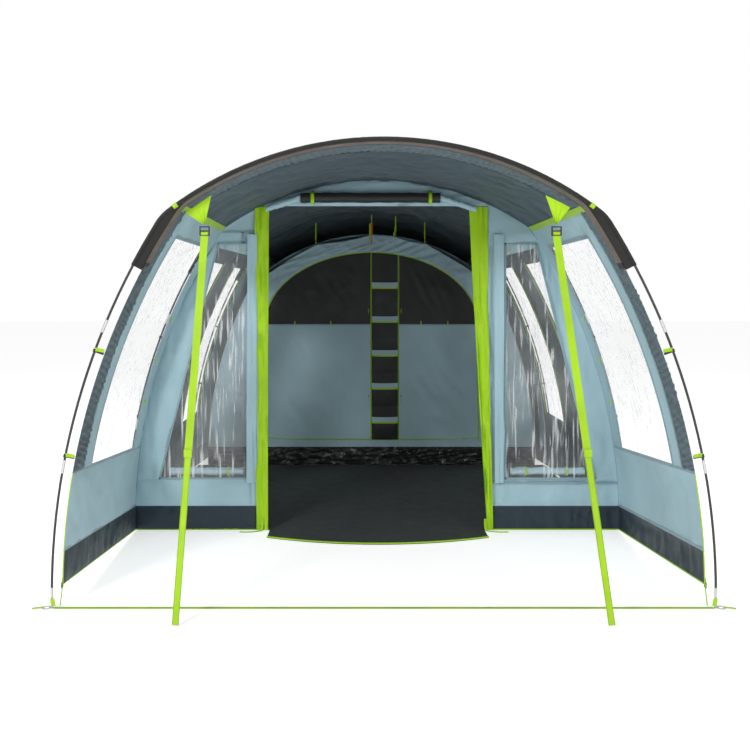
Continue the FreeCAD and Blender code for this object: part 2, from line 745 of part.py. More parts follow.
def side_skirts():
    """The dark band round the foot of the living room, the bedroom and the rear wall."""
    stops = (FLY.t_at(SKIRT_Z), FLY.t_at(SKIRT_FOOT_Z))
    rear_top, rear_foot = rear_height(SKIRT_Z), rear_height(SKIRT_FOOT_Z)
    rear_stops = (REAR_FLY.t_at(rear_top), REAR_FLY.t_at(rear_foot))
    made = []
    for piece in strips(FLY, stops, 0.0, FABRIC, LIVING_FRONT, LIVING_BACK):
        made += both(piece)
    for piece in tapered(FLY, REAR_FLY, stops, rear_stops, 0.0, FABRIC, MIDDLE_Y + ARCH_GAP, 0.0):
        made += both(piece)
    low = rear_blank().common(box(-FAR, FAR, -5, 5, rear_foot, rear_top))
    return made + [leaned(piece, GAP) for piece in low.Solids]


# ---------------------------------------------------------------------------------- inner bedroom
def inner_rear_sheet(low, high):
    """The bedroom's sloping rear wall between two heights above the ground."""
    sheet = Part.Face(REAR_INNER.closed(0.0)).extrude(Vec(0, FABRIC, 0))
    y = GAP - INNER_REAR_GAP
    band = box(-FAR, FAR, -5, 5, rear_height(low, y), rear_height(high, y))
    return [leaned(piece, y) for piece in sheet.common(band).Solids]


def inner_roof():
    return tapered(INNER, REAR_INNER, ROOF_STOPS, ROOF_STOPS, 0.0, FABRIC, INNER_Y + ARCH_GAP,
                   -INNER_REAR_GAP)


def inner_walls():
    stops = (SEAM, 2.0, SIDE_MIDDLE, INNER.t_at(TUB_Z))
    rear_base = rear_height(TUB_Z, -INNER_REAR_GAP)
    rear_stops = (SEAM, 2.0, SIDE_MIDDLE, REAR_INNER.t_at(rear_base))
    made = []
    for piece in tapered(INNER, REAR_INNER, stops, rear_stops, 0.0, FABRIC, INNER_Y + ARCH_GAP,
                         -INNER_REAR_GAP):
        made += both(piece)
    return made + inner_rear_sheet(TUB_Z, FAR)


def inner_tub():
    """The bedroom's groundsheet with its raised walls."""
    low = TUB_LOW_Z
    stops = (INNER.t_at(TUB_Z - GAP), INNER.t_at(low))
    rear_top = rear_height(TUB_Z - GAP, -INNER_REAR_GAP)
    rear_low = rear_height(low, -INNER_REAR_GAP)
    rear_stops = (REAR_INNER.t_at(rear_top), REAR_INNER.t_at(rear_low))
    made = []
    for piece in tapered(INNER, REAR_INNER, stops, rear_stops, 0.0, FABRIC, INNER_Y + ARCH_GAP,
                         -INNER_REAR_GAP):
        made += both(piece)
    made += inner_rear_sheet(low, TUB_Z - GAP)
    half = INNER.point(3, 0, 2.5).x - 2.0
    rear_half = REAR_INNER.point(3, 0, 2.5).x - 2.0
    made.append(box(-half, half, INNER_Y, INNER_Y + FABRIC, low, TUB_Z - GAP))
    far = REAR_Y - INNER_REAR_GAP - ARCH_GAP
    floor = [(-half, INNER_Y), (half, INNER_Y), (rear_half, far), (-rear_half, far)]
    made.append(prism(floor, "Z", *TUB_FLOOR))
    return made


def arch_opening(y0, y1, shrink=0.0):
    """The doorway of the bedroom: a straight-sided opening under half an ellipse."""
    half = INNER_DOOR_HALF - shrink
    rise = INNER_ARCH_RISE - shrink
    curve = Part.Ellipse(Vec(0, y0, INNER_ARCH_Z), half, rise)
    curve = Part.ArcOfEllipse(curve, 0.0, math.pi)
    edge = curve.toShape()
    edge.rotate(Vec(0, y0, INNER_ARCH_Z), Vec(1, 0, 0), 90.0)
    base = INNER_DOOR_BASE - GAP + shrink
    right = Vec(half, y0, base)
    left = Vec(-half, y0, base)
    sides = [Part.LineSegment(Vec(-half, y0, INNER_ARCH_Z), left).toShape(),
             Part.LineSegment(left, right).toShape(),
             Part.LineSegment(right, Vec(half, y0, INNER_ARCH_Z)).toShape()]
    return Part.Face(Part.Wire([edge] + sides)).extrude(Vec(0, y1 - y0, 0))


def inner_front():
    """The bedroom's front wall round its two doors, in upright widths, with the fixed strip."""
    face = Part.Face(INNER.closed(0.0))
    sheet = moved(face.extrude(Vec(0, FABRIC, 0)), y=INNER_Y)
    opening = arch_opening(INNER_Y - 5.0, INNER_Y + 5.0)
    strip = box(STRIP_LEFT, STRIP_RIGHT, INNER_Y - 6.0, INNER_Y + 6.0, 0.0, FAR)
    sheet = sheet.cut(opening.cut(strip))
    made = []
    for a, b in zip(FRONT_COLUMNS, FRONT_COLUMNS[1:]):
        made += pieces(sheet.common(box(a, b, 0.0, REAR_Y, TUB_Z, FAR)))
    return made


def inner_door(side):
    """One leaf, from its sewn edge to the zip beside the fixed strip."""
    leaf = arch_opening(DOOR_LEAF_Y, DOOR_LEAF_Y + FABRIC, LEAF_SHRINK)
    if side < 0:
        return pieces(leaf.common(box(-FAR, STRIP_LEFT - LEAF_GAP, 0.0, REAR_Y, 0.0, FAR)))
    return pieces(leaf.common(box(STRIP_RIGHT + LEAF_GAP, FAR, 0.0, REAR_Y, 0.0, FAR)))


def zip_slider(x, z):
    """The slider body on the zip and its hanging pull."""
    y1 = DOOR_LEAF_Y - CLIP_CLEARANCE
    half, tall = SLIDER_HALF
    body = box(x - half, x + half, y1 - SLIDER_DEPTH, y1, z - tall, z + tall)
    front, back = PULL_SPAN
    pull = box(x - PULL_HALF, x + PULL_HALF, y1 - front, y1 - back, z - PULL_DROP, z - tall)
    return [body.fuse(pull).Solids[0]]


def organiser():
    """A hanging strip of five pockets, sewn to the front of the fixed strip."""
    y1 = INNER_Y - GAP
    x0, x1 = STRIP_LEFT + ORGANISER_EDGE, STRIP_RIGHT - ORGANISER_EDGE
    low, high = ORGANISER_Z
    made = [box(x0, x1, y1 - FABRIC, y1, low, high)]
    y = y1 - FABRIC - 0.2
    for top in POCKET_TOPS:
        foot = top - POCKET_HEIGHT
        outline = [(y, foot), (y - POCKET_BAG, foot + POCKET_FOOT), (y - POCKET_MOUTH, top),
                   (y, top)]
        made.append(prism(outline, "X", x0 + ORGANISER_EDGE, x1 - ORGANISER_EDGE))
    return made


def inner_hangers():
    """Short ties from the fly sheet down to the top of the bedroom's front."""
    made = []
    for x in HANGER_X:
        high = FLY.crown[1] + math.sqrt(FLY.top_r ** 2 - x * x) - HANGER_TOP_GAP
        low = INNER.crown[1] + math.sqrt(INNER.top_r ** 2 - x * x) + HANGER_LOW_GAP
        made.append(box(x - HANGER_HALF, x + HANGER_HALF, INNER_Y, INNER_Y + HANGER_THICK, low,
                        high))
    return made


# ---------------------------------------------------------------------------------- webbing
def strap_triangles():
    y0 = STRAP_TOP_Y + TRIANGLE_BEHIND
    return [prism(corners, "Y", y0, y0 + WEBBING) for corners in (LEFT_TRIANGLE, RIGHT_TRIANGLE)]


def strap_ends(k):
    top = Vec(STRAP_TOP_X[k], STRAP_TOP_Y, STRAP_TOP_Z)
    foot = Vec(STRAP_FOOT_X[k], STRAP_FOOT_Y, STRAP_FOOT_Z)
    return top, foot


def storm_strap(k):
    """A flat webbing strap, with the free tail lying on it down to STRAP_TAIL_Z."""
    top, foot = strap_ends(k)
    share = (STRAP_TOP_Z - STRAP_TAIL_Z) / (STRAP_TOP_Z - STRAP_FOOT_Z)
    tail_end = top + (foot - top) * share
    main = bar(top, foot, STRAP_WIDTH, STRAP_THICK)
    shift = STRAP_THICK + TAIL_GAP
    probe = bar(top, tail_end, STRAP_WIDTH, STRAP_THICK, shift=shift)
    side = -1.0 if probe.BoundBox.YMin > main.BoundBox.YMin else 1.0
    tail = bar(top, tail_end, STRAP_WIDTH - TAIL_NARROWER, STRAP_THICK, shift=side * shift)
    return [main, tail]


def storm_buckle(k):
    """A three-bar ladder buckle at the strap's top."""
    x = STRAP_TOP_X[k]
    y0, y1 = STRAP_TOP_Y - BUCKLE_HALF_DEPTH, STRAP_TOP_Y + BUCKLE_HALF_DEPTH
    z0, z1 = STRAP_TOP_Z + BUCKLE_MARGIN, STRAP_HINGE_Z - BUCKLE_MARGIN
    frame = box(x - BUCKLE_HALF, x + BUCKLE_HALF, y0, y1, z0, z1)
    slot = (z1 - z0 - BUCKLE_BAR * BUCKLE_BARS) / (BUCKLE_BARS - 1)
    for n in range(BUCKLE_BARS - 1):
        low = z0 + BUCKLE_BAR + n * (slot + BUCKLE_BAR)
        frame = frame.cut(box(x - BUCKLE_SLOT_HALF, x + BUCKLE_SLOT_HALF, y0, y1, low, low + slot))
    return [frame.Solids[0]]


def tape_end():
    return POLE.point(3, 0, 2.5).x - LUG_R - 1.0


def front_ground_tape():
    tape = box(-tape_end(), tape_end(), -GROUND_TAPE_HALF, GROUND_TAPE_HALF, 0.0, WEBBING)
    for x in TAPE_EYELET_X:
        hole = Part.makeCylinder(EYELET_RIM_R + 0.1, WEBBING, Vec(x, 0, 0), Vec(0, 0, 1))
        tape = tape.cut(hole)
    return [tape.Solids[0]]


def tape_eyelets():
    made = []
    for x in TAPE_EYELET_X:
        rim = Part.makeCylinder(EYELET_RIM_R, EYELET_THICK, Vec(x, 0, 0), Vec(0, 0, 1))
        bore = Part.makeCylinder(EYELET_R, EYELET_THICK, Vec(x, 0, 0), Vec(0, 0, 1))
        made += pieces(rim.cut(bore))
    return made


def corner_straps():
    """Webbing from each front corner of the side walls down to the foot ring."""
    top = FLY.point(FLY.t_at(SKIRT_LIFT - CORNER_BUCKLE_HALF[1] - 2.0), CORNER_STRAP_INSET)
    top.y = PORCH_FRONT + 2.0
    foot = Vec(tape_end() - 10.0, PORCH_FRONT + 4.0, 5.0)
    return both(bar(top, foot, CORNER_STRAP_WIDTH, WEBBING, Vec(0, 1, 0)))


def corner_buckles():
    """Four small buckles: the side walls' front corners and the doorway's foot."""
    x = FLY.point(FLY.t_at(SKIRT_LIFT), CORNER_INSET).x
    y = PORCH_FRONT + 2.0
    z = SKIRT_LIFT + 1.0
    a, b, c = CORNER_BUCKLE_HALF
    made = both(box(x - a, x + a, y - b, y + b, z - c, z + c))
    wide, deep, tall = FOOT_BUCKLE
    for low in (DOOR_LEFT + 4.0, DOOR_RIGHT - 4.0 - wide):
        made.append(box(low, low + wide, FOOT_BUCKLE_Y, FOOT_BUCKLE_Y + deep, FOOT_BUCKLE_Z,
                        FOOT_BUCKLE_Z + tall))
    return made


# ---------------------------------------------------------------------------------- the whole tent
def build():
    tent = {"pole_ferrules": []}
    for name, y in ARCHES.items():
        tent[name + "_pole"] = [moved(s, y=y) for s in pole_sections(POLE, 1.0)]
        tent[name + "_sleeve"] = [moved(s, y=y) for s in sleeve(POLE, 1.0)]
        tent["pole_ferrules"] += [moved(s, y=y) for s in ferrules(POLE, 1.0)]
    tent["rear_pole"] = [leaned(s) for s in pole_sections(REAR_POLE, REAR_SCALE)]
    tent["rear_sleeve"] = [leaned(s) for s in sleeve(REAR_POLE, REAR_SCALE)]
    tent["pole_ferrules"] += [leaned(s) for s in ferrules(REAR_POLE, REAR_SCALE)]
    tent["foot_rings"] = foot_rings()
    tent["pole_clips"] = pole_clips()
    right_side = porch_side()
    tent["porch_side_right"] = right_side
    tent["porch_side_left"] = [mirrored(piece) for piece in right_side]
    makers = (front_edge_band, roof_hem_band, porch_roof, porch_hems, porch_windows, porch_skirts,
              shoulder_tapes, front_wall, front_skirts, front_windows, door_trims, rolled_door,
              door_ties, window_curtains, living_roof, living_sides, living_windows, groundsheet,
              sill_piping, bedroom_roof, bedroom_sides, rear_wall, side_skirts, inner_roof,
              inner_walls, inner_tub, inner_front, organiser, inner_hangers, strap_triangles,
              front_ground_tape, tape_eyelets, corner_straps, corner_buckles)
    for maker in makers:
        tent[maker.__name__] = maker()
    for k, side in enumerate(("left", "right")):
        tent["door_toggle_" + side] = door_toggle(TIE_X[k])
        tent["inner_door_" + side] = inner_door(2 * k - 1)
        tent["storm_strap_" + side] = storm_strap(k)
        tent["storm_buckle_" + side] = storm_buckle(k)
        zip_x = (STRIP_LEFT - ZIP_OFFSET, STRIP_RIGHT + ZIP_OFFSET)[k]
        tent["upper_slider_" + side] = zip_slider(zip_x, SLIDER_HEIGHTS[0])
        tent["lower_slider_" + side] = zip_slider(zip_x, SLIDER_HEIGHTS[1])
    return tent


def main():
    os.makedirs("parts", exist_ok=True)
    tent = build()
    rearmost = REAR_Y + RING_R
    front_reach = min(s.BoundBox.YMin for k in (0, 1) for s in storm_strap(k))
    middle = 0.5 * (rearmost + front_reach)
    print("nodes", len(tent), "front arch at y =", round(-middle, 3))
    for name, shapes in tent.items():
        placed = [moved(s, y=-middle) for s in shapes]
        for shape in placed:
            if not shape.isValid() or shape.ShapeType != "Solid" or shape.Volume <= 0:
                print("check", name, shape.ShapeType, shape.isValid(), shape.Volume)
        Part.makeCompound(placed).exportStep("parts/" + name + ".step")


main()
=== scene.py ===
"""The looks of a four-arch tunnel tent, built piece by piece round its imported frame.

Lengths are in metres, X runs across the tent, Y from the porch to the rear and Z up. Cloth is laid
out panel by panel on the tent's own outline, and each panel keeps a map in metres, so that weave
and stitching have their real size.
"""
import math

import bpy
from bpy.props import FloatProperty, FloatVectorProperty, PointerProperty
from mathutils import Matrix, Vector, noise


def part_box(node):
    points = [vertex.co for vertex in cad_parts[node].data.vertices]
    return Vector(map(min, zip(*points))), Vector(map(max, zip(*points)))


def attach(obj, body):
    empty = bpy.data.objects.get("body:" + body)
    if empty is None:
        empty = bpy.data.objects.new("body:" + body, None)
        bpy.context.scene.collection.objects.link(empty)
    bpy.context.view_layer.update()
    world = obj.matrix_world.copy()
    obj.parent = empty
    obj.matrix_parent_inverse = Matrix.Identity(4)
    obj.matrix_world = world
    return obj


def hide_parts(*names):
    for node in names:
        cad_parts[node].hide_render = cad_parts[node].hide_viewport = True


bl_info = {
    "name": "Tunnel Tent Looks",
    "version": (1, 0, 0),
    "blender": (4, 5, 0),
    "location": "3D View > Sidebar > Tent",
    "description": "Builds the cloth, webbing, windows and hardware of a tunnel tent round its frame",
    "category": "Add Mesh",
}

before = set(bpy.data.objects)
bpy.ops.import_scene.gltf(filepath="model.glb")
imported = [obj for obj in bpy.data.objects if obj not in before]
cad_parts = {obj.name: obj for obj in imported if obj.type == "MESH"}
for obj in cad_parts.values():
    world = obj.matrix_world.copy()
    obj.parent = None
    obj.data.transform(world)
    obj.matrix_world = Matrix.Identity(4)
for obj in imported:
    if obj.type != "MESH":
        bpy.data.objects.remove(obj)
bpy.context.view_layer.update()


# ------------------------------------------------------------------------------- places and sizes
def box_middle_y(node):
    low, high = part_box(node)
    return 0.5 * (low.y + high.y)


FRONT = box_middle_y("front_pole")          # the planes of the upright arches
DOOR = box_middle_y("door_pole")
MIDDLE = box_middle_y("middle_pole")
RING_R = 0.020
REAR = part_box("foot_rings")[1].y - RING_R   # the rear arch's feet

ARCH_HEIGHT = 2.097
TOP_R = 1.598
SHOULDER_R = 0.186
SIDE_R = 3.131
SHOULDER_START = math.radians(37.1)
SHOULDER_END = math.radians(58.1)
REAR_SCALE = 0.88
REAR_LEAN = math.radians(12.0)

FABRIC = 0.0012
FILM = 0.0006
SEAM_SHARE = 1.6                            # where the roof meets the sides, on the shoulder arc
POLE_R = 0.0055
SLEEVE_R = 0.0095
SLEEVE_END_Z = 1.53
SLEEVE_BAND_Z = 1.797                       # lime bands round the front sleeve
SKIRT_Z = 0.145
TUB_Z = 0.150
CLOTH_MAP = "cloth"

ROOF_TOP_INSET, ROOF_SIDE_INSET, ROOF_SHOULDER_R = 0.010, 0.042, 0.160
INNER_TOP_INSET, INNER_SIDE_INSET, INNER_SHOULDER_R = 0.190, 0.130, 0.150

BAND_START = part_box("front_edge_band")[0].y
BAND_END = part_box("front_edge_band")[1].y
HEM_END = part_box("roof_hem_band")[1].y
PORCH_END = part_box("porch_roof")[1].y
SIDE_END = DOOR + 0.0005                    # the porch sides close on the front wall
SIDE_HEM_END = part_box("porch_hems")[1].y
LIVING_START, LIVING_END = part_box("living_roof")[0].y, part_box("living_roof")[1].y
BEDROOM_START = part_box("bedroom_roof")[0].y
INNER_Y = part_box("inner_front")[0].y
INNER_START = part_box("inner_roof")[0].y
LEAF_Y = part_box("inner_door_left")[0].y


def tone(red, green, blue):
    """A colour from its 0 to 255 values on a screen."""
    def linear(value):
        share = value / 255.0
        return share / 12.92 if share <= 0.04045 else ((share + 0.055) / 1.055) ** 2.4
    return linear(red), linear(green), linear(blue)


# --------------------------------------------------------------------------------------- settings
class TentColours(bpy.types.PropertyGroup):
    """Colours of the tent's cloth, webbing and hardware"""
    roof: FloatVectorProperty(name="Roof", description="Slate roof cloth",
                              subtype="COLOR", min=0, max=1, default=tone(58, 76, 86))
    hem: FloatVectorProperty(name="Hems", description="Gathered slate hems",
                             subtype="COLOR", min=0, max=1, default=tone(80, 97, 105))
    wall: FloatVectorProperty(name="Walls", description="Light blue wall cloth",
                              subtype="COLOR", min=0, max=1, default=tone(158, 188, 198))
    skirt: FloatVectorProperty(name="Skirts", description="Dark mud skirts",
                               subtype="COLOR", min=0, max=1, default=tone(33, 49, 58))
    lime: FloatVectorProperty(name="Lime", description="Webbing, piping and door trims",
                              subtype="COLOR", min=0, max=1, default=tone(160, 205, 14))
    taupe: FloatVectorProperty(name="Edge band", description="Mesh band along the porch edge",
                               subtype="COLOR", min=0, max=1, default=tone(108, 93, 83))
    night: FloatVectorProperty(name="Dark cloth", description="Bedroom door tops and rolled door",
                               subtype="COLOR", min=0, max=1, default=tone(36, 38, 37))
    ground: FloatVectorProperty(name="Groundsheet", description="Woven groundsheet",
                                subtype="COLOR", min=0, max=1, default=tone(66, 70, 69))
    pole: FloatVectorProperty(name="Poles", description="Coated glass-fibre poles",
                              subtype="COLOR", min=0, max=1, default=tone(28, 28, 27))


class TentSizes(bpy.types.PropertyGroup):
    """Small sizes of the cloth"""
    crease: FloatProperty(name="Crease depth", description="Depth of the soft creases",
                          default=0.0115, min=0.0, max=0.03, unit="LENGTH", subtype="DISTANCE")
    gather: FloatProperty(name="Gather depth", description="Depth of the folds in gathered hems",
                          default=0.0055, min=0.0, max=0.02, unit="LENGTH", subtype="DISTANCE")
    weave: FloatProperty(name="Weave pitch", description="Distance between threads",
                         default=0.0016, min=0.0004, max=0.01, unit="LENGTH", subtype="DISTANCE")
    seam: FloatProperty(name="Seam width", description="Width of a felled seam",
                        default=0.014, min=0.004, max=0.04, unit="LENGTH", subtype="DISTANCE")
    piping: FloatProperty(name="Piping radius", description="Radius of the piping at the side skirts",
                          default=0.0032, min=0.001, max=0.01, unit="LENGTH", subtype="DISTANCE")


def colours():
    return bpy.context.scene.tent_colours


def sizes():
    return bpy.context.scene.tent_sizes


# ------------------------------------------------------------------------------------ the outline
class Section:
    """The tent's cross-section: a crown arc, then a shoulder and a side arc on each side.

    A place on it is its distance along the outline from the crown, negative on the left.
    """

    def __init__(self, scale=1.0, top_inset=0.0, side_inset=0.0, shoulder_r=SHOULDER_R):
        crown = Vector((0.0, (ARCH_HEIGHT - TOP_R) * scale))
        reach = (TOP_R - SHOULDER_R) * scale
        knee = crown + reach * Vector((math.sin(SHOULDER_START), math.cos(SHOULDER_START)))
        drop = (SIDE_R - SHOULDER_R) * scale
        side = knee - drop * Vector((math.sin(SHOULDER_END), math.cos(SHOULDER_END)))
        top_r = TOP_R * scale - top_inset
        side_r = SIDE_R * scale - side_inset
        knee_r = shoulder_r * scale
        knee = self.meet(crown, top_r - knee_r, side, side_r - knee_r)
        start = math.atan2(knee.x - crown.x, knee.y - crown.y)
        end = math.atan2(knee.x - side.x, knee.y - side.y)
        foot = math.acos(-side.y / side_r)
        self.arcs = [(crown, top_r, 0.0, start), (knee, knee_r, start, end),
                     (side, side_r, end, foot)]
        self.starts = [0.0, top_r * start, top_r * start + knee_r * (end - start)]
        self.length = self.starts[2] + side_r * (foot - end)

    @staticmethod
    def meet(a, a_r, b, b_r):
        """The upper of the two points at a_r from a and b_r from b."""
        apart = b - a
        d = apart.length
        along = (a_r * a_r - b_r * b_r + d * d) / (2.0 * d)
        off = math.sqrt(a_r * a_r - along * along)
        foot = a + apart * (along / d)
        across = Vector((-apart.y, apart.x)) * (off / d)
        return max((foot + across, foot - across), key=lambda point: point.y)

    def at(self, d, inset=0.0):
        """X and Z of the place d, inset towards the inside."""
        run = abs(d)
        k = sum(run >= start for start in self.starts[1:])
        centre, radius, first, _ = self.arcs[k]
        angle = first + (run - self.starts[k]) / radius
        x = centre.x + (radius - inset) * math.sin(angle)
        return math.copysign(x, d), centre.y + (radius - inset) * math.cos(angle)

    def drop(self, z):
        """How far along the outline the height z is."""
        for k in (2, 1, 0):
            centre, radius, first, _ = self.arcs[k]
            if k == 0 or z <= centre.y + radius * math.cos(first):
                angle = math.acos(max(-1.0, min(1.0, (z - centre.y) / radius)))
                return self.starts[k] + (angle - first) * radius

    def half_width(self, z, inset=0.0):
        return self.at(self.drop(z), inset)[0]

    def height(self, x):
        """The outline's height above the place x."""
        x = abs(x)
        for centre, radius, _, last in self.arcs:
            if x <= centre.x + radius * math.sin(last):
                break
        lift = radius * radius - (x - centre.x) ** 2
        return centre.y + math.sqrt(max(0.0, lift))

    def along(self, share):
        """Distance of a share, which counts one for each arc passed."""
        k = min(2, int(share))
        _, radius, first, last = self.arcs[k]
        return self.starts[k] + (share - k) * (last - first) * radius


POLE = Section()
FLY = Section(1.0, ROOF_TOP_INSET, ROOF_SIDE_INSET, ROOF_SHOULDER_R)
REAR_POLE = Section(REAR_SCALE)
REAR_FLY = Section(REAR_SCALE, ROOF_TOP_INSET, ROOF_SIDE_INSET, ROOF_SHOULDER_R)
INNER = Section(1.0, INNER_TOP_INSET, INNER_SIDE_INSET, INNER_SHOULDER_R)
REAR_INNER = Section(REAR_SCALE, INNER_TOP_INSET, INNER_SIDE_INSET, INNER_SHOULDER_R)
SEAM_D = FLY.along(SEAM_SHARE)
SEAM_Z = FLY.at(SEAM_D)[1]


def leaned(x, z, back=0.0):
    """A point of the rear arch's leaning plane, back behind it."""
    y = REAR + back * math.cos(REAR_LEAN) - z * math.sin(REAR_LEAN)
    return Vector((x, y, back * math.sin(REAR_LEAN) + z * math.cos(REAR_LEAN)))


def rear_height(z, back=0.0):
    return (z - back * math.sin(REAR_LEAN)) / math.cos(REAR_LEAN)


def on_section(section, inset=0.5 * FABRIC):
    """place(d, y) on the outline."""
    def place(d, y):
        x, z = section.at(d, inset)
        return Vector((x, y, z))
    return place


def on_side(side, inset=0.5 * FABRIC):
    """place(y, z) on one side wall; side is -1 for left and 1 for right."""
    def place(y, z):
        return Vector((side * FLY.half_width(z, inset), y, z))
    return place


def on_wall(y):
    """place(x, z) on an upright wall across the tent."""
    return lambda x, z: Vector((x, y, z))


def on_half_wall(side, y):
    """place(z, x) on one half of an upright wall, with x counted outwards from the middle."""
    return lambda z, x: Vector((side * x, y, z))


def between(front, front_range, rear, rear_range, near_y, back, inset=0.5 * FABRIC):
    """place(share, v): share of each outline's own stretch, v from the near arch to the rear one."""
    def place(share, v):
        d = front_range[0] + (front_range[1] - front_range[0]) * share
        e = rear_range[0] + (rear_range[1] - rear_range[0]) * share
        x, z = front.at(d, inset)
        far_x, far_z = rear.at(e, inset)
        return Vector((x, near_y, z)).lerp(leaned(far_x, far_z, back), v)
    return place


def over_crown(place, half, span):
    """place(u, v) in metres over both halves of a roof, from a place that takes shares."""
    def both(u, v):
        point = place(abs(u) / half, v / span)
        point.x = math.copysign(point.x, u)
        return point
    return both


def down_side(place, side, tall, span):
    """place(u, v) in metres on one side, from a place that takes shares."""
    def one(u, v):
        point = place(u / tall, v / span)
        return Vector((side * point.x, point.y, point.z))
    return one


# --------------------------------------------------------------------------------- cloth movement
def rough(a, b, seed):
    return noise.noise(Vector((a, b, seed)))


def crumpled(size, depth, seed, slant=0.0):
    """Sharp small creases between flatter fields."""
    def relief(u, v):
        a = (u + slant * v) / size
        b = (v - slant * u) / size
        bend = 0.8 * rough(0.4 * a, 0.4 * b, seed + 7.0)
        ridge = 1.0 - 2.0 * abs(rough(a + bend, b - bend, seed))
        return depth * (0.65 * ridge * abs(ridge) + 0.5 * rough(0.35 * a, 0.35 * b, seed + 3.0))
    return relief


def drawn(angle, pitch, length, depth, seed):
    """Long pulled folds that run at an angle from the panel's own length."""
    c, s = math.cos(angle), math.sin(angle)

    def relief(u, v):
        a = (u * c - v * s) / pitch
        b = (u * s + v * c) / length
        fold = 1.0 - 2.2 * abs(rough(a + 0.6 * rough(0.3 * a, b, seed + 5.0), b, seed))
        return depth * fold
    return relief


def gathered(pitch, depth, seed, slant=0.0):
    """Close folds across the length u."""
    def relief(u, v):
        turn = (u + slant * v) / pitch + 1.4 * rough(u / (6 * pitch), 2.0 * v, seed)
        lift = 0.6 + 0.7 * rough(u / (2.3 * pitch), v / 0.05, seed + 2.0)
        return depth * lift * math.sin(2 * math.pi * turn)
    return relief


def together(*reliefs):
    return lambda u, v: sum(relief(u, v) for relief in reliefs)


def swapped(relief):
    return lambda u, v: relief(v, u)


# ------------------------------------------------------------------------------------- mesh pieces
def value_at(end, u):
    return end(u) if callable(end) else end


